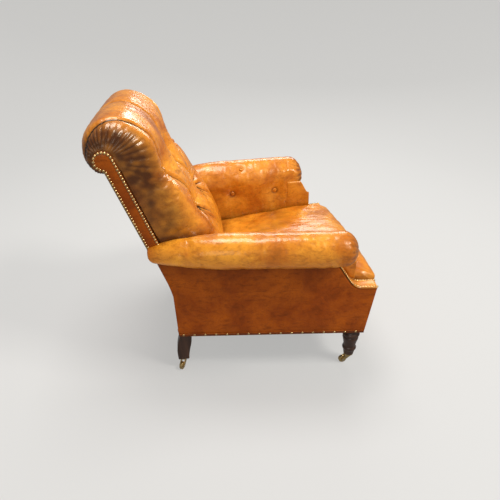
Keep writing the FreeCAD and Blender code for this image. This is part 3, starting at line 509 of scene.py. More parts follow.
def leather(name, light, middle, dark, gloss, shine, seam_and_crease_lines=False):
    """Waxed aniline leather: cloudy dye, painted shade in its folds, fine grain and small creases."""
    made = Nodes(name)
    between = tuple(0.5 * (a + b) for a, b in zip(light, middle))
    deep = tuple(0.55 * c for c in middle)
    clouds = made.noise(7.5, 6.0, 0.66, 0.5)
    colour_map = made.ramp(clouds, [(0.26, deep), (0.40, middle), (0.53, between), (0.68, light)])
    streaks = made.noise(1.0, 4.0, 0.7, 0.8, made.scaled((26.0, 26.0, 70.0)))
    colour_map = made.mix(made.grey(streaks, 0.0, 0.75, 0.50, 0.74), colour_map, deep)
    specks = made.grey(made.noise(210.0, 3.0, 0.7), 0.0, 0.55, 0.52, 0.8)
    colour_map = made.mix(specks, colour_map, deep)
    # Painted shade: each piece's 'shade' values darken the colour towards dark brown.
    colour_map = made.mix(made.value("shade"), colour_map, dark)
    # Dark lines: a seam line down each pleat over the scroll, and painted shade along the creases from the
    # buttons.
    if seam_and_crease_lines:
        gap = made.math("ABSOLUTE", made.value("seam_and_crease_gap"), 0.0)
        seam_and_crease_shade = made.grey(gap, 1.0, 0.0, 0.0014, 0.0042)
        colour_map = made.mix(seam_and_crease_shade, colour_map, tuple(0.4 * c for c in dark))
    made.link(colour_map, made.shader, "Base Color")
    rough = made.grey(made.noise(26.0, 4.0, 0.6), gloss - 0.06, gloss + 0.12, 0.3, 0.7)
    made.link(rough, made.shader, "Roughness")
    folds = made.noise(30.0, 5.0, 0.62, 0.9)
    creases = made.grey(made.cells(60.0, "DISTANCE_TO_EDGE"), 0.0, 1.0, 0.0, 0.12)
    normal = made.bump(folds, 0.45, 0.004)
    normal = made.bump(creases, 0.06, 0.0012, normal)
    normal = made.bump(made.cells(560.0), 0.20, 0.0005, normal)
    normal = made.bump(made.noise(900.0, 2.0, 0.5), 0.12, 0.0003, normal)
    if seam_and_crease_lines:
        normal = made.bump(made.grey(gap, 0.0, 1.0, 0.0005, 0.0030), 0.8, 0.0025, normal)
    made.link(normal, made.shader, "Normal")
    made.set("Specular IOR Level", 0.5 * shine)
    made.set("Specular Tint", (1.0, 0.80, 0.50, 1.0))
    made.set("Coat Weight", 0.4 * shine)
    made.set("Coat Roughness", 0.16)
    return made.material


def wood(name, tone, gloss, along):
    """Close-grained wood with streaks drawn out along its length."""
    made = Nodes(name)
    stretch = {"Z": (42.0, 42.0, 3.2), "Y": (42.0, 3.2, 42.0), "X": (3.2, 42.0, 42.0)}[along]
    streaks = made.noise(1.0, 6.0, 0.65, 0.6, made.scaled(stretch))
    pores = made.noise(5.0, 2.0, 0.5, 0.0, made.scaled(stretch))
    light = tuple(min(1.0, 1.7 * c) for c in tone)
    dark = tuple(0.45 * c for c in tone)
    colour_map = made.ramp(streaks, [(0.28, dark), (0.5, tone), (0.75, light)])
    colour_map = made.mix(made.grey(pores, 0.0, 0.5, 0.55, 0.75), colour_map, dark)
    made.link(colour_map, made.shader, "Base Color")
    made.link(made.grey(streaks, gloss, gloss + 0.15, 0.3, 0.7), made.shader, "Roughness")
    made.link(made.bump(pores, 0.2, 0.0006), made.shader, "Normal")
    made.set("Coat Weight", 0.3)
    made.set("Coat Roughness", 0.2)
    return made.material


def metal(name, tone, rough, tarnish):
    """Polished metal with hand-worn dull patches."""
    made = Nodes(name)
    patches = made.noise(160.0, 4.0, 0.6)
    dull = tuple(c * tarnish for c in tone)
    made.link(made.ramp(patches, [(0.35, tone), (0.75, dull)]), made.shader, "Base Color")
    made.link(made.grey(patches, rough, rough + 0.2, 0.35, 0.7), made.shader, "Roughness")
    made.link(made.bump(made.noise(700.0, 2.0), 0.12, 0.0002), made.shader, "Normal")
    made.set("Metallic", 1.0)
    return made.material


def woven(name, light, dark, pitch):
    """Plain weave of two crossing threads."""
    made = Nodes(name)
    across = made.wave(1.0 / pitch / 6.3, 0.4, made.scaled((1.0, 0.0, 0.0)))
    down = made.wave(1.0 / pitch / 6.3, 0.4, made.scaled((0.0, 1.0, 1.0), (0.0, 0.0, 1.5708)))
    threads = made.math("MAXIMUM", across, down)
    slubs = made.noise(240.0, 3.0, 0.6)
    colour_map = made.ramp(threads, [(0.2, dark), (0.8, light)])
    colour_map = made.mix(made.grey(slubs, 0.0, 0.5, 0.4, 0.8), colour_map, dark)
    made.link(colour_map, made.shader, "Base Color")
    made.link(made.bump(threads, 0.5, 0.0006), made.shader, "Normal")
    made.set("Roughness", 0.9)
    made.set("Sheen Weight", 0.2)
    return made.material


def finishes():
    """Every material of the chair by its maker's name, made once."""
    tone = bpy.context.scene.armchair.finish
    have = bpy.data.materials
    if "Cognac leather" not in have:
        tans = (tuple(tone.light), tuple(tone.middle), tuple(tone.dark))
        leather("Cognac leather", *tans, tone.gloss, 1.0)
        leather("Buttoned leather", *tans, tone.gloss, 1.0, True)
        # Painted shade: a darker copy of the same leather for the outside panels, facings and band.
        leather("Outside leather", tuple(tone.shaded_side_light), tuple(tone.shaded_side_middle),
                tuple(0.6 * c for c in tone.dark), tone.gloss + 0.08, 0.35)
        wood("Walnut", tuple(tone.wood), 0.28, "Z")
        wood("Beech upright", (0.50, 0.30, 0.15), 0.5, "Z")
        wood("Beech lengthwise", (0.50, 0.30, 0.15), 0.5, "Y")
        wood("Beech crosswise", (0.50, 0.30, 0.15), 0.5, "X")
        metal("Nail brass", tuple(tone.brass), 0.20, 0.75)
        metal("Castor brass", tuple(0.92 * c for c in tone.brass), 0.24, 0.6)
        metal("Steel", (0.55, 0.55, 0.56), 0.35, 0.7)
        woven("Jute webbing", (0.42, 0.30, 0.17), (0.16, 0.10, 0.05), 0.0016)
        woven("Hessian", (0.46, 0.34, 0.20), (0.18, 0.12, 0.06), 0.0020)
        woven("Black cloth", (0.022, 0.021, 0.020), (0.006, 0.006, 0.006), 0.0010)
    return have


# ---- Back ----

BACK_LINE = [(0.432, 0.0035), (0.448, -0.030), (0.500, -0.041), (0.548, -0.014), (0.569, 0.038),
             (0.550, 0.095), (0.481, 0.143), (0.400, 0.156), (0.300, 0.163), (0.215, 0.171),
             (0.140, 0.189), (0.053, 0.196), (-0.045, 0.184)]
TOP_BUTTONS = [(-0.180, 0.370), (0.0, 0.370), (0.180, 0.370)]
LOW_BUTTONS = [(-0.090, 0.203), (0.090, 0.203)]


def facing_target(along, forward):
    """The point of the facing's edge that a point of the back's outline gathers to."""
    if along < HEAD_CENTRE[0] and forward > HEAD_CENTRE[1]:
        return (along, 0.041)
    gap = (along - HEAD_CENTRE[0], forward - HEAD_CENTRE[1])
    length = math.hypot(*gap)
    share = HEAD_RADIUS / length
    return (HEAD_CENTRE[0] + gap[0] * share, HEAD_CENTRE[1] + gap[1] * share)


def back_rings(spacing, edge):
    """Rings round the padded back from one end to the other, with its own (across, along)."""
    outer = curve_through(BACK_LINE, spacing)
    run = 0.0
    stations = [0.0]
    for here, there in zip(outer, outer[1:]):
        run += math.dist(here, there)
        stations.append(run)
    hidden = [(-0.070, 0.165), (-0.100, 0.110), (-0.055, 0.047), (0.480, 0.047), (0.480, 0.004)]
    tail = evenly([outer[-1]] + hidden + [outer[0]], 0.018)[1:-1]
    line = outer + tail
    stations += [-1.0] * len(tail)
    targets = [facing_target(*p) for p in outer] + tail
    half = []
    for along, forward in line:
        y, z = raked(along, forward)
        between = HALF_REAR + (REAR_FACE - y) * math.tan(FLARE) - 0.0475 / math.cos(FLARE)
        rise = ease((z - 0.478) / 0.050)
        half.append(between + (HEAD_HALF_WIDTH - between) * rise)
    rings, across, along_values = [], [], []
    turns = 16
    steps = int(round(2 * (0.25 - edge) / spacing))
    for row in range(-turns, steps + turns + 1):
        angle = 0.0
        hand = 0.0
        if row < 0:
            angle, hand = -row / turns * math.pi / 2, -1.0
        if row > steps:
            angle, hand = (row - steps) / turns * math.pi / 2, 1.0
        place = min(1.0, max(0.0, row / steps)) * 2 - 1
        ring = []
        for (a, f), (ta, tf), side in zip(line, targets, half):
            share = 1 - math.cos(angle)
            y, z = raked(a + (ta - a) * share, f + (tf - f) * share)
            x = place * (side - edge) + hand * edge * math.sin(angle)
            ring.append((x, y, z))
            across.append(x)
        along_values += stations
        rings.append(ring)
    return rings, across, along_values, outer, stations[:len(outer)]


def station_of(outer, stations, along):
    """Where along the outline the front of the back reaches a height along the rake."""
    for (a, f), s in zip(outer, stations):
        if f > 0.1 and a <= along:
            return s
    raise ValueError("the back's outline doesn't reach that height")


def line_distance(x, s, start, end):
    """Distance from a straight line on the leather, and the share along it."""
    run = np.array([end[0] - start[0], end[1] - start[1]])
    length = np.hypot(*run)
    share = ((x - start[0]) * run[0] + (s - start[1]) * run[1]) / length ** 2
    near = np.clip(share, 0, 1)
    side = ((x - start[0]) * run[1] - (s - start[1]) * run[0]) / length
    gap = np.hypot(x - start[0] - near * run[0], s - start[1] - near * run[1])
    return gap, near, side


def build_back():
    kit = bpy.context.scene.armchair.back
    rings, across, along, outer, stations = back_rings(kit.spacing, kit.edge)
    piece = loft("back_leather", rings, {"across": across, "along": along})
    x = read_value(piece, "across")
    s = read_value(piece, "along")
    top = station_of(outer, stations, TOP_BUTTONS[0][1])
    low = station_of(outer, stations, LOW_BUTTONS[0][1])
    buttons = [(bx, top) for bx, _ in TOP_BUTTONS] + [(bx, low) for bx, _ in LOW_BUTTONS]

    pull = np.zeros(len(x))
    for bx, bs in buttons:
        gap = np.hypot(x - bx, s - bs)
        depth = kit.button_depth if bs == top else kit.low_depth
        reach = kit.button_reach if bs == top else 0.75 * kit.button_reach
        pull = np.maximum(pull, depth * np.exp(-(gap / reach) ** 1.2))
    pull[s < 0] = 0
    normals = read_normals(piece)
    write_points(piece, read_points(piece) - normals * pull[:, None])
    held = np.zeros(len(x))
    held[s < 0] = 1
    held[s > stations[-1] - 0.03] = 1
    for bx, bs in buttons:
        held[np.hypot(x - bx, s - bs) < 0.014] = 1
    held[np.abs(read_points(piece)[:, 0]) > 0.2865] = 1
    held[s < 0.012] = 1
    plump(piece, held, 2.5, 0.006, slack=0.02)
    subdivide(piece)

    x = read_value(piece, "across")
    s = read_value(piece, "along")
    points = read_points(piece)
    normals = read_normals(piece)
    visible = np.clip(s / 0.02, 0, 1)
    depth = np.zeros(len(x))
    end = np.clip((np.abs(x) - (HEAD_HALF_WIDTH - kit.edge)) / kit.edge, 0, 1)
    # Pleats over the scroll, one from each top button.
    # Distance to the nearest pleat seam and crease line: the leather draws a seam down each pleat and
    # painted shade along each crease.
    seam_and_crease_gap = np.full(len(x), 0.05)
    for bx, _ in TOP_BUTTONS:
        away = np.clip((top - s) / 0.25, 0, 1.3)
        hand = (bx > 0) - (bx < 0)
        middle = bx + hand * 0.062 * away ** 1.5 + (1 - abs(hand)) * 0.006 * np.sin(s * 40)
        gap = x - middle
        fade = np.where((s < top) & (s > 0.06), 1.0 - 0.5 * away, 0.0) * np.clip((s - 0.06) / 0.05, 0, 1)
        depth += fade * kit.pleat_depth * (0.55 * groove(gap, kit.pleat_width) + 0.45 * groove(gap, 0.028))
        depth -= fade * 0.0030 * np.exp(-((gap - 0.013) / 0.010) ** 2)
        seam_and_crease_gap = np.where((s < top) & (s > 0.07) & (np.abs(gap) < np.abs(seam_and_crease_gap)), gap, seam_and_crease_gap)
    # Folds from button to button, and down to the seat.
    runs = []
    for bx in (-0.180, 0.0, 0.180):
        for lx in (-0.090, 0.090):
            if abs(bx - lx) < 0.1:
                runs.append(((bx, top), (lx, low), 0.8))
    for lx in (-0.090, 0.090):
        for foot, strength in ((-0.105, 0.55), (-0.070, 0.7), (-0.038, 0.8), (-0.008, 0.8), (0.022, 0.8),
                               (0.054, 0.7), (0.088, 0.6)):
            runs.append(((lx, low + 0.004), (lx + foot, low + 0.155 - 0.35 * abs(foot)), strength))
    for hand in (-1, 1):
        for across_by, along_by, strength in ((0.082, -0.034, 0.8), (0.092, -0.004, 0.7),
                                              (0.095, 0.024, 1.0), (0.078, 0.055, 0.8),
                                              (0.045, 0.080, 0.5), (0.050, -0.070, 0.5)):
            runs.append(((hand * 0.180, top), (hand * (0.180 + across_by), top + along_by), strength))
        for across_by, along_by, strength in ((0.110, -0.010, 0.7), (0.120, 0.050, 0.7),
                                              (0.060, -0.060, 0.5)):
            runs.append(((hand * 0.090, low), (hand * (0.090 + across_by), low + along_by), strength))
    for across_by, along_by in ((-0.050, 0.060), (0.050, 0.060), (0.0, 0.085),
                                (-0.055, -0.040), (0.055, -0.040)):
        runs.append(((0.0, top), (across_by, top + along_by), 0.45))
    for start, finish, strength in runs:
        gap, near, side = line_distance(x, s, start, finish)
        fade = strength * (1 - near) ** 0.8
        depth += fade * 1.0 * kit.pleat_depth * groove(gap, 0.0042 + 0.004 * near)
        depth -= fade * 0.0040 * np.exp(-((side - 0.010) / 0.007) ** 2) * (near > 0.02) * (near < 0.98)
        # Each crease is also kept as a dark line: painted shade along the crease.
        crease = 1.5 * gap + 0.0055 * near ** 3 / strength
        seam_and_crease_gap = np.where((crease < np.abs(seam_and_crease_gap)) & (s > 0), crease, seam_and_crease_gap)
    write_value(piece, "seam_and_crease_gap", seam_and_crease_gap)
    # Gathers round each scrolled end.
    head = np.array(raked(*HEAD_CENTRE))
    angle = np.arctan2(points[:, 2] - head[1], points[:, 1] - head[0])
    wave = np.abs(np.sin(angle * kit.gathers / 2 + 0.7 * np.sin(angle * 5)))
    headness = np.clip((points[:, 2] - raked(0.36, 0.0)[1]) / 0.10, 0, 1)
    gather = (end ** 1.4) * (1 - wave ** 0.6) * np.clip((1 - end) * 14, 0, 1) * (0.25 + 0.75 * headness)
    depth += 0.0034 * gather
    # Slack between the folds.
    ripple = wrinkles(points, 26.0, (1.0, 1.6, 1.6), 2)
    fine = wrinkles(points, 70.0, (1.5, 0.7, 0.7), 5)
    depth += 0.0016 * ripple + 0.0005 * fine
    depth *= visible
    write_points(piece, points - normals * depth[:, None])
    # Deeper button wells for the colour only: painted shade round each button.
    for bx, bs in buttons:
        gap = np.hypot(x - bx, s - bs)
        pull = 0.7 * np.exp(-(gap / 0.016) ** 2)
        depth = np.maximum(depth, pull * kit.pleat_depth)
    # Darker towards the scrolled ends beside the facings: dye darkening and painted shade.
    edge_dark = np.clip((end - 0.24 - 0.10 * (1 - headness)) / 0.58, 0, 1) ** 1.1
    streak = 0.5 + 0.5 * wrinkles(points, 30.0, (3.0, 0.6, 0.6), 11)
    # Painted shade in the pleats, the button wells and the gathers.
    shade = np.clip(depth / kit.pleat_depth - 0.20, 0, 0.8)
    shade += edge_dark * (0.80 + 0.10 * headness) * (0.65 + 0.6 * streak) + 0.30 * gather
    # Painted shade low down at the sides, where the back meets the seat and arms.
    beside = np.clip((np.abs(points[:, 0]) - 0.185) / 0.07, 0, 1)
    shade += 0.60 * np.clip((0.540 - points[:, 2]) / 0.060, 0, 1) * beside * (s > 0)
    write_value(piece, "shade", np.clip(shade, 0, 0.97))
    return finish_piece(piece, finishes()["Buttoned leather"],
                        nodes=["back_pad"])


# ---- Arms ----

ARM_BUTTONS = [(0.240, 0.428), (0.423, 0.428)]


def arm_section(thin):
    """The arm's outline in (out, height): round roll, inner face and hidden underside."""
    centre = (0.035 - 0.023 * thin, 0.490 - 0.014 * thin)
    wide = 0.057 - 0.024 * thin
    tall = 0.054 - 0.027 * thin
    inner_top = 0.046 - 0.028 * thin
    line = [(-0.046, ARM_PAD_FOOT), (-0.0465, 0.330), (-0.0475, 0.400), (-0.0465, 0.450), (-0.046, 0.474)]
    for turn in (155, 130, 108):
        angle = math.radians(turn)
        line.append((-0.008 + 0.038 * math.cos(angle), 0.472 + inner_top * math.sin(angle)))
    for turn in (112, 95, 75, 50, 25, 0, -25, -50, -75, -100, -118, -129):
        angle = math.radians(turn)
        line.append((centre[0] + wide * math.cos(angle), centre[1] + tall * math.sin(angle)))
    return line


def build_arm(hand):
    kit = bpy.context.scene.armchair.arm
    name = "left" if hand > 0 else "right"
    rear_top = 0.053
    length = 0.507
    nose = 0.048
    shape = curve_through(arm_section(0.0), kit.spacing)
    count = len(shape)
    stations = list(np.linspace(0, 1, int(round(0.54 / kit.spacing))))
    rings, across, along = [], [], []

    sections = [np.array(resample(arm_section(step / 60), count)) for step in range(61)]

    def add_ring(y_of, thin_of, shrink, lift):
        ring = []
        for index in range(count):
            level = thin_of(shape[index][1]) * 60
            below = min(59, int(level))
            thick, thin = sections[below][index], sections[below + 1][index]
            out, height = thick + (level - below) * (thin - thick)
            middle = (0.012, 0.478)
            out = middle[0] + (out - middle[0]) * shrink
            height = middle[1] + (max(height, lift) - middle[1]) * shrink
            ring.append((out, y_of(height), height))
            across.append(index / (count - 1))
            along.append(y_of(height))
        under = max(ARM_TOP_WALL + 0.0005, lift)
        for out, height in ((-0.020, under), (-0.0285, under), (-0.0285, max(ARM_PAD_FOOT, lift))):
            middle = (0.012, 0.478)
            out = middle[0] + (out - middle[0]) * shrink
            height = middle[1] + (height - middle[1]) * shrink
            ring.append((out, y_of(height), height))
            across.append(-1.0)
            along.append(y_of(height))
        rings.append([side_point(out, y, height, hand) for out, y, height in ring])

    def rear_at(height):
        return -(max(0.0, height - KNEE_HEIGHT) * math.tan(RAKE)) + 0.001

    for share in stations:
        def y_of(height, share=share):
            rear = rear_at(height)
            return rear + (length - rear) * share

        def thin_of(height, y_of=y_of):
            return max(0.0, 1 - (rear_top + y_of(height)) / 0.260) ** 2

        front = y_of(0.45)
        lift = ARM_PAD_FOOT + (ARM_TOP_WALL - ARM_PAD_FOOT) * ease((front - 0.478) / 0.008)
        add_ring(y_of, thin_of, 1.0, lift)
    for turn in (0.18, 0.36, 0.52, 0.66, 0.78, 0.87, 0.94, 0.985):
        add_ring(lambda height, turn=turn: length + nose * turn, lambda height: 0.0,
                 math.sqrt(1 - turn ** 2), ARM_TOP_WALL)
    piece = loft("arm_leather_" + name, rings, {"across": across, "along": along})
    points = read_points(piece)
    normals = read_normals(piece)
    run = read_value(piece, "along")
    ring_place = read_value(piece, "across")
    pull = np.zeros(len(points))
    spots = [np.array(side_point(-0.046, back, height, hand)) for back, height in ARM_BUTTONS]
    spots.append(np.array(side_point(-0.009, 0.285, 0.519, hand)))
    for index, spot in enumerate(spots):
        gap = np.linalg.norm(points - spot, axis=1)
        weight = 1.0 if index < 2 else 0.45
        pull = np.maximum(pull, weight * np.exp(-(gap / kit.button_reach) ** 1.3))
    write_points(piece, points - normals * (pull * kit.button_depth)[:, None])
    held = np.zeros(len(points))
    held[ring_place < 0] = 1
    held[(ring_place < 0.05)] = 1
    held[ring_place > 0.975] = 1
    held[run < 0.03] = 1
    held[(run > 0.475) & (points[:, 2] < ARM_TOP_WALL)] = 1
    for spot in spots[:2]:
        held[np.linalg.norm(points - spot, axis=1) < 0.011] = 1
    plump(piece, held, 2.0, 0.005, slack=0.01)
    subdivide(piece)

    points = read_points(piece)
    normals = read_normals(piece)
    run = read_value(piece, "along")
    ring_place = read_value(piece, "across")
    shown = np.clip(ring_place * 20, 0, 1)
    depth = 0.0012 * wrinkles(points, 22.0, (1.2, 1.2, 1.2), 3)
    # Fine stretch lines run round the roll, closer and deeper at its front end.
    stretch = wrinkles(points, 60.0, (4.0, 0.5, 4.0), 9)
    depth += 0.0007 * stretch * (1 + 1.6 * np.clip((run - 0.44) / 0.06, 0, 1))
    front = np.clip((run - length) / nose, 0, 1)
    angle = np.arctan2(points[:, 2] - 0.485, (np.abs(points[:, 0]) - abs(side_point(0.03, 0.53, 0.0, 1)[0])))
    depth += 0.0035 * np.sqrt(front) * (1 - np.abs(np.sin(angle * 9))) * np.clip((1 - front) * 5, 0, 1)
    for spot in spots[:2]:
        for slope in (-0.9, -0.25, 0.35, 1.0, 2.3):
            way = np.array(side_point(0, -math.cos(slope), math.sin(slope), hand))
            way -= np.array(side_point(0, 0, 0, hand))
            gap_vector = points - spot
            share = gap_vector @ way
            gap = np.linalg.norm(gap_vector - share[:, None] * way, axis=1)
            fade = np.clip(1 - share / 0.055, 0, 1) * (share > 0)
            depth += 0.0022 * fade * groove(gap, 0.004)
    write_points(piece, points - normals * (depth * shown)[:, None])
    # Painted shade in the folds; darker towards the roll's front end.
    shade = np.clip(depth / 0.004 - 0.2, 0, 0.45) + 0.35 * front
    # Painted shade low on the inner face, where it meets the seat.
    shade += 0.5 * np.exp(-np.clip(points[:, 2] - ARM_PAD_FOOT, 0, 1) / 0.10) * (ring_place < 0.5)
    # Painted shade under the roll, on its outer side.
    shade += 0.45 * np.clip((0.462 - points[:, 2]) / 0.02, 0, 1) * (ring_place > 0.6)
    # Painted shade in the button wells.
    for spot in spots[:2]:
        gap = np.linalg.norm(points - spot, axis=1)
        shade = np.maximum(shade, 0.97 * np.exp(-(gap / 0.016) ** 4))
    write_value(piece, "shade", np.clip(shade, 0, 0.85))
    return finish_piece(piece, finishes()["Cognac leather"],
                        nodes=["arm_pad_" + name])


def resample(points, count):
    """A smooth curve through the points, as exactly count points evenly spaced."""
    fine = curve_through(points, 0.0015)
    pts = np.array(fine)
    run = np.concatenate([[0.0], np.cumsum(np.linalg.norm(np.diff(pts, axis=0), axis=1))])
    places = np.linspace(0, run[-1], count)
    return list(zip(np.interp(places, run, pts[:, 0]), np.interp(places, run, pts[:, 1])))


# ---- Seat ----

def seat_half(y):
    return HALF_REAR + (REAR_FACE - y) * math.tan(FLARE) - (SHOULDER_WIDTH + 0.0015) / math.cos(FLARE)


def build_seat():
    kit = bpy.context.scene.armchair.seat
    top = [(-0.080, 0.322), (-0.166, 0.326), (-0.300, 0.345), (-0.430, 0.357), (-0.540, 0.363),
           (-0.600, 0.3625), (-0.638, 0.353), (-0.655, 0.342), (-0.6565, 0.334), (-0.650, 0.3292)]
    upper = curve_through(top, kit.spacing)
    hidden = [(-0.634, 0.3285), (-0.628, 0.300), (-0.60, 0.280), (-0.080, 0.275)]
    lower = evenly([top[-1]] + hidden + [top[0]], 0.02)[1:-1]
    line = upper + lower
    steps = 74
    rings, across, along = [], [], []
    for row in range(steps + 1):
        place = math.sin((row / steps * 2 - 1) * math.pi / 2 * 0.94) / math.sin(math.pi / 2 * 0.94)
        ring = []
        for index, (back, z) in enumerate(line):
            y = REAR_FACE + back
            half = seat_half(y)
            x = place * half
            edge = max(0.0, (abs(x) - (half - kit.side_round)) / kit.side_round)
            drop = kit.side_round * (1 - math.sqrt(max(0.0, 1 - edge ** 2)))
            crown = kit.crown * (1 - place ** 2) - 0.004
            if index < len(upper):
                fall = ease((z - 0.300) / 0.05)
                z = z + (crown - drop) * fall
                bow = 0.006 * (1 - place ** 2) - 0.010 * edge ** 2
                if back < -0.58:
                    y -= bow * ease((-back - 0.58) / 0.07)
            ring.append((x, y, z))
            across.append(x)
            along.append(-back if index < len(upper) else -1.0)
        rings.append(ring)
    piece = loft("seat_leather", rings, {"across": across, "along": along})
    points = read_points(piece)
    run = read_value(piece, "along")
    held = np.zeros(len(points))
    held[run < 0] = 1
    held[run < 0.10] = 1
    held[points[:, 2] < 0.331] = 1
    plump(piece, held, 1.5, 0.004, slack=0.008)
    subdivide(piece)
    points = read_points(piece)
    normals = read_normals(piece)
    run = read_value(piece, "along")
    depth = 0.0022 * wrinkles(points, 11.0, (1.6, 1.0, 1.0), 4)
    depth += 0.0008 * wrinkles(points, 42.0, (0.7, 1.8, 1.0), 6)
    depth += 0.0012 * wrinkles(points, 24.0, (0.8, 2.2, 1.0), 8)
    depth *= np.clip(run / 0.05, 0, 1)
    write_points(piece, points - normals * depth[:, None])
    # Painted shade in the wrinkles, along the side edges against the arms and towards the back.
    half = np.array([seat_half(p[1]) for p in points])
    edge = np.clip((np.abs(points[:, 0]) - half + 0.03) / 0.03, 0, 1)
    shade = np.clip(depth / 0.005, 0, 0.4) + 0.6 * edge ** 2 + 0.6 * np.clip((0.24 - run) / 0.08, 0, 1)
    write_value(piece, "shade", np.clip(shade, 0, 0.85))
    return finish_piece(piece, finishes()["Cognac leather"],
                        nodes=["seat_pad"])


# ---- Outside panels ----

def shoulder_line(drop):
    """The shoulder from the front edge up to the arm, as (back, height) points."""
    slope = math.radians(56.0)
    radius = 0.050 + drop
    front = SIDE_LENGTH + 0.022
    arc_start = front - 0.047
    centre = 0.381
    line = [(front, SHOULDER_HEIGHT - drop), (arc_start, SHOULDER_HEIGHT - drop)]
    for step in range(1, 13):
        turn = slope * step / 12
        line.append((arc_start - radius * math.sin(turn), centre - radius * math.cos(turn)))
    back, height = line[-1]
    line.append((back - (ARM_TOP_WALL - height) / math.tan(slope), ARM_TOP_WALL))
    return line


def shoulder_top(back):
    """Height of the shoulder's underside line at a distance from the rear face."""
    line = shoulder_line(0.003)
    return float(np.interp(back, [p[0] for p in line[::-1]], [p[1] for p in line[::-1]]))


def build_side(hand):
    """Outside arm: one stretched sheet with a slight swell, tucked in at its edges."""
    name = "left" if hand > 0 else "right"
    front_top = SIDE_LENGTH + 0.022
    rear_top = -(ARM_TOP_WALL - KNEE_HEIGHT) * math.tan(RAKE)
    stations = list(np.linspace(rear_top, 0.0, 10)[:-1]) + list(np.linspace(0.0, front_top, 92))
    rows = 46
    front, back, shade = [], [], []
    for station in stations:
        high = ARM_TOP_WALL if station < SHOULDER_REAR else shoulder_top(station)
        low = BASE_HEIGHT
        if station < 0:
            reach = [h for h in np.linspace(BASE_HEIGHT, ARM_TOP_WALL, 400) if -knee_back(h) <= station]
            low = reach[0] if reach else ARM_TOP_WALL
        if station > SIDE_LENGTH:
            low = BASE_HEIGHT + (station - SIDE_LENGTH) / 0.022 * 0.178
        line, under = [], []
        for row in range(rows + 1):
            height = low + (high - low) * row / rows
            rim = min(height - low, high - height, station - rear_top, front_top - station)
            along = (station - rear_top) / (front_top - rear_top)
            up = (height - BASE_HEIGHT) / (ARM_TOP_WALL - BASE_HEIGHT)
            swell = 0.0035 * math.sin(math.pi * along) * math.sin(math.pi * up)
            tuck = 0.0022 * math.exp(-max(0.0, rim) / 0.004)
            sheet = side_point(0.0005 + swell - tuck, station, height, hand)
            ripple = noise.noise(Vector((station * 9, height * 14, 3.0 * hand)))
            ripple += 0.5 * noise.noise(Vector((station * 30, height * 22, 8.0 * hand)))
            shift = 0.0013 * ripple * min(1.0, max(0.0, rim) / 0.02)
            line.append((sheet[0] + hand * shift, sheet[1], sheet[2]))
            under.append(side_point(-0.0028, station, height, hand))
            # Painted shadow under the arm's roll, painted shade round the tucked rim, and darker along the
            # bottom.
            shade.append(min(0.85, 0.80 * math.exp(-(ARM_TOP_WALL - height) / 0.045)
                             + 0.30 * math.exp(-(height - BASE_HEIGHT) / 0.02)
                             + 0.25 * math.exp(-max(0.0, rim) / 0.006)))
        front.append(line)
        back.append(under)
    piece = shell("side_leather_" + name, front, back, {"shade": shade + shade})
    return finish_piece(piece, finishes()["Outside leather"],
                        nodes=["side_panel_" + name])


def build_outside_back():
    """Outside back, from the base up to the underside of the scroll."""
    heights = list(np.linspace(BASE_HEIGHT, 0.7085, 64))
    front, back, shade = [], [], []
    for height in heights:
        y = REAR_FACE + knee_back(height)
        half = 0.270 + 0.0190 * ease((height - 0.484) / 0.014)
        tilt = RAKE * ease((height - 0.25) / 0.12)
        line, under = [], []
        for column in range(49):
            place = column / 24 - 1
            rim = min(height - BASE_HEIGHT, heights[-1] - height, half * (1 - abs(place)))
            swell = 0.004 * (1 - place ** 2) * math.sin(math.pi * (height - BASE_HEIGHT) / 0.56)
            swell -= 0.0022 * math.exp(-rim / 0.004)
            swell += 0.0012 * noise.noise(Vector((place * 4, height * 12, 5.0))) * min(1.0, rim / 0.02)
            x = place * half
            line.append((x, y + swell * math.cos(tilt), height - swell * math.sin(tilt)))
            under.append((x, y - 0.0028 * math.cos(tilt), height + 0.0028 * math.sin(tilt)))
            # Painted shade round the tucked rim and towards the top, under the scroll.
            shade.append(min(0.8, 0.35 * math.exp(-rim / 0.008) + 0.5 * ease((height - 0.62) / 0.09)))
        front.append(line)
        back.append(under)
    piece = shell("outside_back_leather", front, back, {"shade": shade + shade})
    return finish_piece(piece, finishes()["Outside leather"],
                        nodes=["outside_back_panel"])


def build_border():
    """Front border under the seat's nose, lightly padded."""
    front, back, shade = [], [], []
    top = SHOULDER_HEIGHT - 0.003
    for row in range(25):
        height = BASE_HEIGHT + (top - BASE_HEIGHT) * row / 24
        y = front_y(height)
        half = HALF_REAR + (REAR_FACE - y) * math.tan(FLARE) - 0.0035
        line, under = [], []
        for column in range(73):
            place = column / 36 - 1
            rim = min(height - BASE_HEIGHT, top - height, half * (1 - abs(place)))
            swell = 0.003 * math.sin(math.pi * row / 24) * (1 - place ** 4) - 0.002 * math.exp(-rim / 0.004)
            swell += 0.0010 * noise.noise(Vector((place * 7, height * 16, 1.0))) * min(1.0, rim / 0.02)
            line.append((place * half, y - swell, height - swell * FRONT_LEAN))
            under.append((place * half, y + 0.0058, height))
            # Painted shade round the tucked rim.
            shade.append(min(0.7, 0.4 * math.exp(-rim / 0.010)))
        front.append(line)
        back.append(under)
    piece = shell("front_border_leather", front, back, {"shade": shade + shade})
    return finish_piece(piece, finishes()["Cognac leather"],
                        nodes=["front_border"])


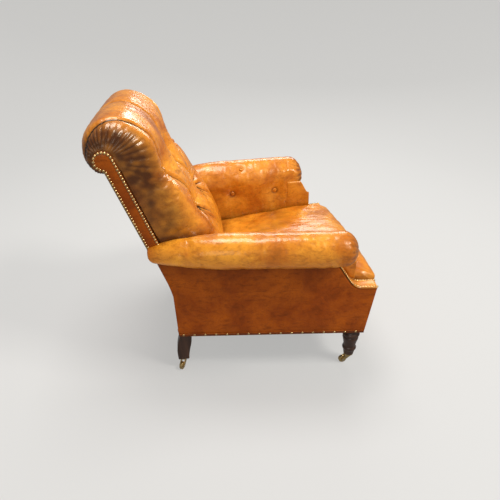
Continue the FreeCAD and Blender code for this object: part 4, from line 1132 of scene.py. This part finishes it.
def facing_loop(inset):
    """The facing's outline pulled in by inset, as (along, forward) points of a fixed count."""
    radius = HEAD_RADIUS - inset
    reach = math.sqrt(radius ** 2 - (HEAD_CENTRE[1] - inset) ** 2)
    low = 0.190 + inset
    neck = HEAD_CENTRE[0] - reach
    front = HEAD_CENTRE[1] + radius
    start = math.atan2(inset - HEAD_CENTRE[1], -reach)
    end = math.pi / 2
    if start > end:
        start -= 2 * math.pi
    loop = [(low + (neck - low) * k / 40, inset) for k in range(40)]
    for k in range(40):
        angle = start + (end - start) * k / 40
        loop.append((HEAD_CENTRE[0] + radius * math.cos(angle), HEAD_CENTRE[1] + radius * math.sin(angle)))
    loop += [(HEAD_CENTRE[0] + (low - HEAD_CENTRE[0]) * k / 40, front) for k in range(40)]
    loop += [(low, front + (inset - front) * k / 8) for k in range(8)]
    return loop


def build_facing(hand):
    """Facing of the scrolled back: a hockey stick of padded leather edged with nails."""
    name = "left" if hand > 0 else "right"
    rings = []
    shade = []
    for inset, rise in ((0.0, -0.0035), (0.0, -0.0012), (0.0007, -0.0002), (0.0025, 0.0004), (0.005, 0.0005),
                        (0.0085, 0.0014), (0.012, 0.0023), (0.016, 0.0029), (0.0195, 0.0031)):
        loop = facing_loop(inset)
        ring = []
        for along, forward in loop:
            y, z = raked(along, forward)
            ring.append((hand * (FACING_PLANE + rise - 0.0005), y, z))
            # Painted shade towards the outline, where the back's leather meets the facing; a little darker
            # all over.
            shade.append(0.55 * math.exp(-inset / 0.0035) + 0.18)
        rings.append(ring)
    piece = loft("facing_leather_" + name, rings, {"shade": shade})
    return finish_piece(piece, finishes()["Outside leather"],
                        nodes=["back_facing_" + name])


def build_shoulder(hand):
    """Shoulder strip from the front corner up to the arm, and the sheet inside it."""
    name = "left" if hand > 0 else "right"
    line = evenly(shoulder_line(0.0), 0.004)
    slopes = []
    for index in range(len(line)):
        before, after = line[max(0, index - 1)], line[min(len(line) - 1, index + 1)]
        way = (after[0] - before[0], after[1] - before[1])
        length = math.hypot(*way)
        slopes.append((-way[1] / length, -way[0] / length))
    across = [0.0010, 0.0004, -0.0015, -0.005, -0.010, -0.016, -0.0235, -0.031, -0.037, -0.042, -0.0455,
              -0.0474, -0.0480]
    front, back, shade = [], [], []
    for (station, height), (nb, nz) in zip(line, slopes):
        row, under = [], []
        nb, nz = (-nb, -nz) if nz < 0 else (nb, nz)
        for out in across:
            middle = (out + 0.0235) / 0.0245
            rise = 0.0016 * (1 - middle ** 2) - 0.0030 * max(0.0, abs(middle) - 0.93) / 0.07
            row.append(side_point(out, station + nb * rise, height + nz * rise, hand))
            covered = min(-0.0005, max(-0.0468, out))
            under.append(side_point(covered, station - nb * 0.0029, height - nz * 0.0029, hand))
            # Painted shade along both long edges of the strip.
            shade.append(0.35 * abs(middle) ** 6)
        front.append(row)
        back.append(under)
    piece = shell("shoulder_leather_" + name, front, back, {"shade": shade + shade})
    finish_piece(piece, finishes()["Cognac leather"],
                 nodes=["shoulder_cap_" + name])

    inner_front, inner_back, inner_shade = [], [], []
    for station in np.linspace(INNER_SHOULDER_REAR, SIDE_LENGTH + 0.020, 60):
        high = max(shoulder_top(max(SHOULDER_REAR, station)), 0.462 - 0.055 * ease((station - 0.530) / 0.045)
                   if station < 0.577 else 0.0) - 0.0006
        low = 0.300
        row, under = [], []
        for step in range(21):
            height = low + (high - low) * step / 20
            rim = min(high - height, station - INNER_SHOULDER_REAR)
            swell = 0.0012 * (1 - math.exp(-max(0.0, rim) / 0.010))
            row.append(side_point(-0.0473 - swell, station, height, hand))
            above = min(1.0, max(0.0, (height - shoulder_top(max(SHOULDER_REAR, station))) / 0.008))
            under.append(side_point(-0.0471 + 0.009 * above, station, height, hand))
            # Painted shade towards the bottom, by the seat; a little darker all over.
            inner_shade.append(0.10 + 0.4 * math.exp(-(height - low) / 0.04))
        inner_front.append(row)
        inner_back.append(under)
    inner = shell("shoulder_inner_leather_" + name, inner_front, inner_back,
                  {"shade": inner_shade + inner_shade})
    finish_piece(inner, finishes()["Cognac leather"])
    return piece


def build_banding():
    """Strip of folded leather with a raised cord edge round the bottom of the body."""
    section = [(0.0, 0.0), (0.0012, 0.0), (0.0017, 0.002), (0.0016, 0.0085), (0.0024, 0.0095),
               (0.0028, 0.0108), (0.0024, 0.0122), (0.0012, 0.0130), (0.0, 0.0130)]
    runs = []
    for hand in (1, -1):
        ends = (0.002, SIDE_LENGTH - 0.001)
        rows = [[side_point(out, back, BASE_HEIGHT + up, hand) for out, up in section]
                for back in np.linspace(ends[0], ends[1], 80)]
        runs.append(rows)
    half = 0.340
    runs.append([[(x, front_y(BASE_HEIGHT + up) - out, BASE_HEIGHT + up) for out, up in section]
                 for x in np.linspace(-half, half, 80)])
    half = HALF_REAR - 0.014
    runs.append([[(x, REAR_FACE + out, BASE_HEIGHT + up) for out, up in section]
                 for x in np.linspace(-half, half, 70)])
    points, faces, shade = [], [], []
    for rows in runs:
        start = len(points)
        count = len(section)
        for row in rows:
            points += row
            # Painted highlight and shade: the cord's outer edge kept light, the strip below it and the faces
            # against the body darkened.
            shade += [0.75, 0.7, 0.6, 0.5, 0.35, 0.0, 0.1, 0.5, 0.75]
        for r in range(len(rows) - 1):
            for i in range(count):
                j = (i + 1) % count
                a = start + r * count
                faces.append((a + i, a + j, a + count + j, a + count + i))
        faces.append(tuple(range(start, start + count)))
        faces.append(tuple(range(len(points) - count, len(points))))
    piece = new_object("base_band", points, faces, {"shade": shade})
    return finish_piece(piece, finishes()["Outside leather"], nodes=["base_banding"])


# ---- Nails and buttons, placed by Geometry Nodes ----

def head_tree(name, material, segments, rings):
    """A tree that sets a low dome on every vertex, square to its stored direction."""
    tree = bpy.data.node_groups.new(name, "GeometryNodeTree")
    tree.is_modifier = True
    face = tree.interface
    face.new_socket("Geometry", in_out="INPUT", socket_type="NodeSocketGeometry")
    for label, value in (("Head Radius", 0.0043), ("Head Height", 0.003), ("Spread", 0.04)):
        socket = face.new_socket(label, in_out="INPUT", socket_type="NodeSocketFloat")
        socket.default_value = value
    face.new_socket("Seed", in_out="INPUT", socket_type="NodeSocketInt").default_value = 1
    face.new_socket("Geometry", in_out="OUTPUT", socket_type="NodeSocketGeometry")
    nodes, links = tree.nodes, tree.links
    start = nodes.new("NodeGroupInput")
    ball = nodes.new("GeometryNodeMeshUVSphere")
    ball.inputs["Segments"].default_value = segments
    ball.inputs["Rings"].default_value = rings
    ball.inputs["Radius"].default_value = 1.0
    shape = nodes.new("ShaderNodeCombineXYZ")
    for axis in ("X", "Y"):
        links.new(start.outputs["Head Radius"], shape.inputs[axis])
    links.new(start.outputs["Head Height"], shape.inputs["Z"])
    sized = nodes.new("GeometryNodeTransform")
    links.new(ball.outputs["Mesh"], sized.inputs["Geometry"])
    links.new(shape.outputs["Vector"], sized.inputs["Scale"])
    aim = nodes.new("GeometryNodeInputNamedAttribute")
    aim.data_type = "FLOAT_VECTOR"
    aim.inputs["Name"].default_value = "aim"
    turn = nodes.new("FunctionNodeAlignRotationToVector")
    turn.axis = "Z"
    links.new(aim.outputs["Attribute"], turn.inputs["Vector"])
    low = nodes.new("ShaderNodeMath")
    low.operation = "SUBTRACT"
    low.inputs[0].default_value = 1.0
    links.new(start.outputs["Spread"], low.inputs[1])
    high = nodes.new("ShaderNodeMath")
    high.operation = "ADD"
    high.inputs[0].default_value = 1.0
    links.new(start.outputs["Spread"], high.inputs[1])
    chance = nodes.new("FunctionNodeRandomValue")
    chance.data_type = "FLOAT"
    floats = [s for s in chance.inputs if s.type == "VALUE"]
    links.new(low.outputs[0], floats[0])
    links.new(high.outputs[0], floats[1])
    links.new(start.outputs["Seed"], chance.inputs["Seed"])
    place = nodes.new("GeometryNodeInstanceOnPoints")
    links.new(start.outputs["Geometry"], place.inputs["Points"])
    links.new(sized.outputs["Geometry"], place.inputs["Instance"])
    links.new(turn.outputs["Rotation"], place.inputs["Rotation"])
    links.new(next(s for s in chance.outputs if s.type == "VALUE"), place.inputs["Scale"])
    real = nodes.new("GeometryNodeRealizeInstances")
    links.new(place.outputs["Instances"], real.inputs["Geometry"])
    soft = nodes.new("GeometryNodeSetShadeSmooth")
    links.new(real.outputs["Geometry"], soft.inputs["Geometry"])
    paint = nodes.new("GeometryNodeSetMaterial")
    paint.inputs["Material"].default_value = material
    links.new(soft.outputs["Geometry"], paint.inputs["Geometry"])
    end = nodes.new("NodeGroupOutput")
    links.new(paint.outputs["Geometry"], end.inputs["Geometry"])
    return tree


def set_inputs(modifier, values):
    for item in modifier.node_group.interface.items_tree:
        if item.item_type == "SOCKET" and item.in_out == "INPUT" and item.name in values:
            modifier[item.identifier] = values[item.name]


def heads(name, places, tree, values):
    """Domes at (point, direction) places, made a plain mesh."""
    mesh = bpy.data.meshes.new(name)
    mesh.from_pydata([tuple(p) for p, _ in places], [], [])
    layer = mesh.attributes.new("aim", "FLOAT_VECTOR", "POINT")
    layer.data.foreach_set("vector", [c for _, way in places for c in way])
    piece = bpy.data.objects.new(name, mesh)
    bpy.context.scene.collection.objects.link(piece)
    modifier = piece.modifiers.new("Heads", "NODES")
    modifier.node_group = tree
    set_inputs(modifier, values)
    keep_modifiers(piece)
    return piece


def facing_nail_places(hand, pitch):
    loop = [raked(a, f) for a, f in facing_loop(0.0050)]
    line = evenly(loop + [loop[0]], pitch)[:-1]
    return [((hand * (FACING_PLANE + 0.0001), y, z), (hand, 0.0, 0.0)) for y, z in line]


def shoulder_nail_places(hand, pitch):
    line = evenly(shoulder_line(0.0), 0.001)
    run = evenly(line[:int(len(line) * 0.80)], pitch)
    places = []
    for index, (station, height) in enumerate(run):
        before, after = run[max(0, index - 1)], run[min(len(run) - 1, index + 1)]
        way = (before[0] - after[0], after[1] - before[1])
        length = math.hypot(*way)
        nb, nz = way[1] / length, way[0] / length
        for inside in (0.0050, SHOULDER_WIDTH - 0.0045):
            base = side_point(-inside, station + nb * 0.0003, height + nz * 0.0003, hand)
            tip = side_point(-inside, station + nb, height + nz, hand)
            places.append((base, tuple(Vector(tip) - Vector(base))))
    return places


def build_nails():
    kit = bpy.context.scene.armchair.nail
    tree = head_tree("Nail heads", finishes()["Nail brass"], 12, 8)
    values = {"Head Radius": kit.radius, "Head Height": kit.height, "Spread": 0.05, "Seed": kit.seed}
    for hand, name in ((1, "left"), (-1, "right")):
        piece = heads("facing_nail_heads_" + name, facing_nail_places(hand, kit.pitch), tree, values)
        finish_piece(piece, None, nodes=["facing_nails_" + name])
    places = shoulder_nail_places(1, kit.pitch) + shoulder_nail_places(-1, kit.pitch)
    lean = Vector((0.0, -1.0, -FRONT_LEAN)).normalized()
    height = SHOULDER_HEIGHT - 0.009
    half = 0.300
    for x in np.arange(-half, half + 0.001, kit.pitch):
        places.append(((float(x), front_y(height) - 0.0003, height), tuple(lean)))
    piece = heads("shoulder_nail_heads", places, tree, values)
    finish_piece(piece, None, nodes=["shoulder_nails"])
    places = []
    height = BASE_HEIGHT + 0.0055
    for hand in (1, -1):
        for back in np.arange(0.016, SIDE_LENGTH - 0.01, kit.base_pitch):
            places.append((side_point(0.0014, float(back), height, hand), tuple(side_normal(1, 0, hand))))
    for x in np.arange(-0.324, 0.325, kit.base_pitch):
        places.append(((float(x), front_y(height) - 0.0014, height), tuple(lean)))
    for x in np.arange(-0.252, 0.253, kit.base_pitch):
        places.append(((float(x), REAR_FACE + 0.0014, height), (0.0, 1.0, 0.0)))
    piece = heads("base_nail_heads", places, tree, values)
    finish_piece(piece, None, nodes=["base_nails"])


def surface_point(piece, start, way):
    """Where a line from start along way meets a piece, with the piece's direction there."""
    graph = bpy.context.evaluated_depsgraph_get()
    graph.update()
    hit, point, normal, _ = piece.evaluated_get(graph).ray_cast(Vector(start), Vector(way))
    if not hit:
        raise ValueError("no leather under a button of " + piece.name)
    return point, normal


def build_buttons():
    cover = finishes()["Cognac leather"]
    tree = head_tree("Leather buttons", cover, 24, 14)
    back = bpy.data.objects["back_leather"]
    normal = Vector((0.0, -math.cos(RAKE), math.sin(RAKE)))
    places = []
    for x, along in TOP_BUTTONS + LOW_BUTTONS:
        y, z = raked(along, 0.30)
        point, _ = surface_point(back, (x, y, z), -normal)
        places.append((point, tuple(normal)))
    piece = heads("back_button_heads", places, tree,
                  {"Head Radius": 0.0115, "Head Height": 0.0058, "Spread": 0.02, "Seed": 3})
    finish_piece(piece, None, nodes=["back_buttons"])
    places = []
    for hand, name in ((1, "left"), (-1, "right")):
        arm = bpy.data.objects["arm_leather_" + name]
        inward = side_normal(-1, 0, hand)
        for back_by, height in ARM_BUTTONS:
            start = Vector(side_point(-0.10, back_by, height, hand))
            point, _ = surface_point(arm, start, -inward)
            places.append((point, tuple(inward)))
        crest = side_normal(-0.30, 0.95, hand)
        start = Vector(side_point(-0.009, 0.285, 0.519, hand)) + crest * 0.08
        point, _ = surface_point(arm, start, -crest)
        places.append((point, tuple(crest)))
    piece = heads("arm_button_heads", places, tree,
                  {"Head Radius": 0.0095, "Head Height": 0.0048, "Spread": 0.02, "Seed": 5})
    finish_piece(piece, None, nodes=["arm_buttons"])


# ---- Legs and frame ----

def build_legs():
    walnut = finishes()["Walnut"]
    for hand, name in ((1, "left"), (-1, "right")):
        low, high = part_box("front_leg_" + name)
        axis = side_point(-0.028, 0.586, 0.0, hand)
        foot = low[2]
        profile = [(0.0, 0.0), (0.0165, 0.0), (0.0175, 0.0010), (0.0180, 0.006), (0.0200, 0.0155),
                   (0.0206, 0.0195), (0.0225, 0.0215), (0.0240, 0.0250), (0.0243, 0.0280),
                   (0.0236, 0.0310), (0.0215, 0.0335), (0.0203, 0.0355), (0.0205, 0.040),
                   (0.0222, 0.050), (0.0248, 0.061), (0.0268, 0.069), (0.0275, 0.0730),
                   (0.0262, 0.0760), (0.0243, 0.0775), (0.0246, 0.0795), (0.0278, 0.0825),
                   (0.0298, 0.0858), (0.0302, 0.0890), (0.0292, 0.0925), (0.0266, 0.0955),
                   (0.0243, 0.0975), (0.0240, 0.1010), (0.0240, 0.1125), (0.0, 0.1125)]
        piece = turned("front_leg_turned_" + name, axis, [(r, foot + h) for r, h in profile], 40)
        edges = piece.modifiers.new("Smooth", "SUBSURF")
        edges.levels = edges.render_levels = 1
        finish_piece(piece, walnut, nodes=["front_leg_" + name])
        build_block(hand, name, high[2], walnut)
        build_rear_leg(hand, name, walnut)


def build_block(hand, name, top, walnut):
    """Square block of the front leg, let into the seat frame."""
    half = 0.0224
    rings = []
    for height in (BASE_HEIGHT + 0.0022, BASE_HEIGHT + 0.0032, top - 0.001, top):
        inset = 0.001 if height in (BASE_HEIGHT + 0.0022, top) else 0.0
        reach = half - inset
        rings.append([side_point(-0.028 + a * reach, 0.586 + b * reach, height, hand)
                      for a, b in ((-1, -1), (1, -1), (1, 1), (-1, 1))])
    piece = loft("front_leg_block_" + name, rings)
    piece.data.polygons.foreach_set("use_smooth", [False] * len(piece.data.polygons))
    finish_piece(piece, walnut)


def build_rear_leg(hand, name, walnut):
    """Swept rear leg and upright sawn from one board, with softened edges."""
    low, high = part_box("rear_leg_" + name)
    inner, outer = sorted((abs(low[0]), abs(high[0])))
    foot = low[2]
    rear_line = curve_through([(0.009, foot), (0.0105, 0.060), (0.0105, 0.085), (0.005, 0.115),
                               (-0.004, 0.146)], 0.006)
    front_line = curve_through([(-0.028, foot), (-0.0285, 0.055), (-0.033, 0.082), (-0.0395, 0.112),
                                (-0.0418, 0.146)], 0.006)
    heights = np.linspace(0.15, 0.44, 30)
    rear_line += [(knee_back(h) - 0.0041, h) for h in heights]
    front_line += [(knee_back(h + 0.012) - 0.0425, h) for h in heights]
    for along in (0.200, 0.300, 0.400, 0.479):
        y, z = raked(along, 0.0042)
        rear_line.append((y - REAR_FACE, z))
        y, z = raked(along, 0.0418)
        front_line.append((y - REAR_FACE, z))
    count = 60
    rear = resample_line(rear_line, count)
    front = resample_line(front_line, count)
    rings = []
    for (ry, rz), (fy, fz) in zip(rear, front):
        rings.append([(hand * inner, REAR_FACE + fy, fz), (hand * outer, REAR_FACE + fy, fz),
                      (hand * outer, REAR_FACE + ry, rz), (hand * inner, REAR_FACE + ry, rz)])
    piece = loft("rear_leg_swept_" + name, rings)
    soften = piece.modifiers.new("Softened edges", "BEVEL")
    soften.width = 0.0025
    soften.segments = 3
    soften.limit_method = "ANGLE"
    soften.angle_limit = math.radians(50)
    keep_modifiers(piece)
    finish_piece(piece, walnut, nodes=["rear_leg_" + name])


def resample_line(points, count):
    pts = np.array(points)
    run = np.concatenate([[0.0], np.cumsum(np.linalg.norm(np.diff(pts, axis=0), axis=1))])
    places = np.linspace(0, run[-1], count)
    return list(zip(np.interp(places, run, pts[:, 0]), np.interp(places, run, pts[:, 1])))


def build_dust_cloth():
    """Black cloth tacked across the underside, sagging a little."""
    low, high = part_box("dust_cover")
    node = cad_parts["dust_cover"]
    corners = [v.co.copy() for v in node.data.vertices]
    front_half = max(abs(c.x) for c in corners if c.y < low[1] + 0.02)
    rear_half = max(abs(c.x) for c in corners if c.y > high[1] - 0.08)
    level = low[2]
    front, back = [], []
    for row in range(41):
        share = row / 40
        y = low[1] + 0.0465 + (high[1] - 0.046 - low[1] - 0.0465) * share
        half = (front_half + (rear_half - front_half) * share) - 0.004
        line, under = [], []
        for column in range(41):
            place = column / 20 - 1
            sag = 0.004 * (1 - place ** 2) * math.sin(math.pi * share)
            sag += 0.0008 * noise.noise(Vector((place * 6, share * 6, 2.0)))
            x = place * half
            line.append((x, y, level - sag + 0.0012))
            under.append((x, y, level - sag + 0.0005))
        front.append(line)
        back.append(under)
    piece = shell("dust_cloth", front, back)
    finish_piece(piece, finishes()["Black cloth"], nodes=["dust_cover"])


def paint_frame():
    """Materials for the CAD nodes that are shown as they are."""
    have = finishes()
    rules = [("rail", "Beech crosswise"), ("side_rail", "Beech lengthwise"),
             ("arm_rail", "Beech lengthwise"), ("arm_post", "Beech upright"),
             ("shoulder_block", "Beech upright"), ("scroll_board", "Beech upright"),
             ("corner_blocks", "Beech upright"), ("webbing", "Jute webbing"), ("spring_canvas", "Hessian"),
             ("seat_springs", "Steel"), ("castor_plate", "Castor brass"), ("castor_horn", "Castor brass"),
             ("castor_wheel", "Castor brass"), ("castor_axle", "Steel"), ("castor_screws", "Steel")]
    for name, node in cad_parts.items():
        for part, material in rules:
            if part in name:
                node.data.materials.clear()
                node.data.materials.append(have[material])
        if "castor" in name or "spring" in name:
            node.data.polygons.foreach_set("use_smooth", [False] * len(node.data.polygons))


# ---- Stage ----

def area_light(name, place, target, size_x, size_y, power, tone):
    data = bpy.data.lights.new(name, "AREA")
    data.shape = "RECTANGLE"
    data.size = size_x
    data.size_y = size_y
    data.energy = power
    data.color = tone
    lamp = bpy.data.objects.new(name, data)
    lamp.location = place
    lamp.rotation_euler = (Vector(target) - Vector(place)).to_track_quat("-Z", "Y").to_euler()
    bpy.context.scene.collection.objects.link(lamp)


def build_stage():
    kit = bpy.context.scene.armchair.stage
    scene = bpy.context.scene
    cells = 72
    reach = 9.0
    points = []
    for j in range(cells + 1):
        for i in range(cells + 1):
            x = -reach + 2 * reach * i / cells
            y = -reach + 2 * reach * j / cells
            away = max(0.0, math.hypot(x, y) - 2.6)
            points.append((x, y, 0.16 * away ** 2 - 0.0002))
    row = cells + 1
    faces = [(j * row + i, j * row + i + 1, (j + 1) * row + i + 1, (j + 1) * row + i)
             for j in range(cells) for i in range(cells)]
    mesh = bpy.data.meshes.new("studio_floor")
    mesh.from_pydata(points, [], faces)
    mesh.polygons.foreach_set("use_smooth", [True] * len(mesh.polygons))
    floor = bpy.data.objects.new("studio_floor", mesh)
    scene.collection.objects.link(floor)
    paint = Nodes("Studio floor")
    tone = tuple(kit.floor)
    paint.link(paint.ramp(paint.noise(1.3, 2.0), [(0.3, tone), (0.7, tuple(0.995 * c for c in tone))]),
               paint.shader, "Base Color")
    paint.set("Roughness", 0.85)
    paint.set("Specular IOR Level", 0.1)
    paint.set("Emission Color", (*kit.backdrop, 1.0))
    paint.set("Emission Strength", 1.0)
    mesh.materials.append(paint.material)
    floor.visible_glossy = False

    world = bpy.data.worlds.new("Studio")
    world.use_nodes = True
    world.node_tree.nodes["Background"].inputs["Color"].default_value = (1.0, 0.995, 0.985, 1.0)
    world.node_tree.nodes["Background"].inputs["Strength"].default_value = 0.22
    scene.world = world
    area_light("Key light", (-1.8, -3.0, 4.3), (0.0, 0.0, 0.45), 1.6, 1.2, kit.key, (1.0, 0.97, 0.92))
    area_light("Top light", (0.5, 0.2, 3.6), (0.0, 0.1, 0.5), 1.6, 1.2, kit.fill * 5.0, (1.0, 0.98, 0.95))
    area_light("Side light", (-2.6, 0.9, 1.5), (0.0, 0.0, 0.4), 1.2, 1.2, kit.fill * 0.5, (1.0, 0.99, 0.97))
    area_light("Far light", (3.0, -1.0, 2.1), (0.0, 0.0, 0.6), 2.2, 0.55, kit.far, (1.0, 0.98, 0.94))

    data = bpy.data.cameras.new("Camera")
    data.sensor_width = 36.0
    data.lens = kit.lens
    data.clip_start = 0.05
    camera = bpy.data.objects.new("Camera", data)
    camera.location = CAMERA_PLACE
    camera.rotation_euler = Vector(CAMERA_BACKWARD).to_track_quat("Z", "Y").to_euler()
    scene.collection.objects.link(camera)
    scene.camera = camera
    scene.view_settings.view_transform = "Standard"
    scene.view_settings.look = "None"


# ---- Operators and panel ----

class ARMCHAIR_OT_stage(bpy.types.Operator):
    """Pale floor, soft light and camera"""

    bl_idname = "armchair.stage"
    bl_label = "Stage"

    def execute(self, context):
        build_stage()
        return {"FINISHED"}


class ARMCHAIR_OT_back(bpy.types.Operator):
    """Buttoned back with its rolled head"""

    bl_idname = "armchair.back"
    bl_label = "Back"

    def execute(self, context):
        build_back()
        return {"FINISHED"}


class ARMCHAIR_OT_arms(bpy.types.Operator):
    """Rolled arms with their buttoned inner faces"""

    bl_idname = "armchair.arms"
    bl_label = "Arms"

    def execute(self, context):
        for hand in (1, -1):
            build_arm(hand)
        return {"FINISHED"}


class ARMCHAIR_OT_seat(bpy.types.Operator):
    """Sprung seat with a rolled nose"""

    bl_idname = "armchair.seat"
    bl_label = "Seat"

    def execute(self, context):
        build_seat()
        return {"FINISHED"}


class ARMCHAIR_OT_sides(bpy.types.Operator):
    """Leather stretched on the outside of the arms"""

    bl_idname = "armchair.sides"
    bl_label = "Outside arms"

    def execute(self, context):
        for hand in (1, -1):
            build_side(hand)
        return {"FINISHED"}


class ARMCHAIR_OT_outside_back(bpy.types.Operator):
    """Leather stretched on the back"""

    bl_idname = "armchair.outside_back"
    bl_label = "Outside back"

    def execute(self, context):
        build_outside_back()
        return {"FINISHED"}


class ARMCHAIR_OT_border(bpy.types.Operator):
    """Padded border under the seat"""

    bl_idname = "armchair.border"
    bl_label = "Front border"

    def execute(self, context):
        build_border()
        return {"FINISHED"}


class ARMCHAIR_OT_facings(bpy.types.Operator):
    """Nailed facings of the scrolled back"""

    bl_idname = "armchair.facings"
    bl_label = "Facings"

    def execute(self, context):
        for hand in (1, -1):
            build_facing(hand)
        return {"FINISHED"}


class ARMCHAIR_OT_shoulders(bpy.types.Operator):
    """Leather over the front shoulders"""

    bl_idname = "armchair.shoulders"
    bl_label = "Shoulders"

    def execute(self, context):
        for hand in (1, -1):
            build_shoulder(hand)
        return {"FINISHED"}


class ARMCHAIR_OT_banding(bpy.types.Operator):
    """Band round the bottom of the body"""

    bl_idname = "armchair.banding"
    bl_label = "Base band"

    def execute(self, context):
        build_banding()
        return {"FINISHED"}


class ARMCHAIR_OT_nails(bpy.types.Operator):
    """Domed brass nail heads"""

    bl_idname = "armchair.nails"
    bl_label = "Nails"

    def execute(self, context):
        build_nails()
        return {"FINISHED"}


class ARMCHAIR_OT_buttons(bpy.types.Operator):
    """Leather-covered buttons"""

    bl_idname = "armchair.buttons"
    bl_label = "Buttons"

    def execute(self, context):
        build_buttons()
        return {"FINISHED"}


class ARMCHAIR_OT_legs(bpy.types.Operator):
    """Turned front legs and swept rear legs"""

    bl_idname = "armchair.legs"
    bl_label = "Legs"

    def execute(self, context):
        build_legs()
        return {"FINISHED"}


class ARMCHAIR_OT_dust_cloth(bpy.types.Operator):
    """Cloth under the seat"""

    bl_idname = "armchair.dust_cloth"
    bl_label = "Dust cloth"

    def execute(self, context):
        build_dust_cloth()
        return {"FINISHED"}


class ARMCHAIR_OT_frame(bpy.types.Operator):
    """Materials of the frame, springs and castors"""

    bl_idname = "armchair.frame"
    bl_label = "Frame and castors"

    def execute(self, context):
        paint_frame()
        return {"FINISHED"}


STEPS = [ARMCHAIR_OT_stage, ARMCHAIR_OT_back, ARMCHAIR_OT_arms, ARMCHAIR_OT_seat,
         ARMCHAIR_OT_sides, ARMCHAIR_OT_outside_back, ARMCHAIR_OT_border, ARMCHAIR_OT_facings,
         ARMCHAIR_OT_shoulders, ARMCHAIR_OT_banding, ARMCHAIR_OT_nails, ARMCHAIR_OT_buttons,
         ARMCHAIR_OT_legs, ARMCHAIR_OT_dust_cloth, ARMCHAIR_OT_frame]


class ARMCHAIR_PT_panel(bpy.types.Panel):
    """Sidebar panel with every step of the chair."""

    bl_idname = "ARMCHAIR_PT_panel"
    bl_label = "Armchair"
    bl_space_type = "VIEW_3D"
    bl_region_type = "UI"
    bl_category = "Armchair"

    def draw(self, context):
        for step in STEPS:
            self.layout.operator(step.bl_idname)
        kit = context.scene.armchair
        for group in (kit.finish, kit.back, kit.arm, kit.seat, kit.nail, kit.stage):
            box = self.layout.box()
            for key in group.__annotations__:
                box.prop(group, key)


CLASSES = [FinishSettings, BackSettings, ArmSettings, SeatSettings, NailSettings, StageSettings,
           ArmchairSettings, *STEPS, ARMCHAIR_PT_panel]


def register():
    for item in CLASSES:
        bpy.utils.register_class(item)
    bpy.types.Scene.armchair = PointerProperty(type=ArmchairSettings)


def unregister():
    del bpy.types.Scene.armchair
    for item in reversed(CLASSES):
        bpy.utils.unregister_class(item)


def main():
    register()
    for step in STEPS:
        getattr(bpy.ops.armchair, step.bl_idname.split(".")[1])()


if __name__ == "__main__":
    main()
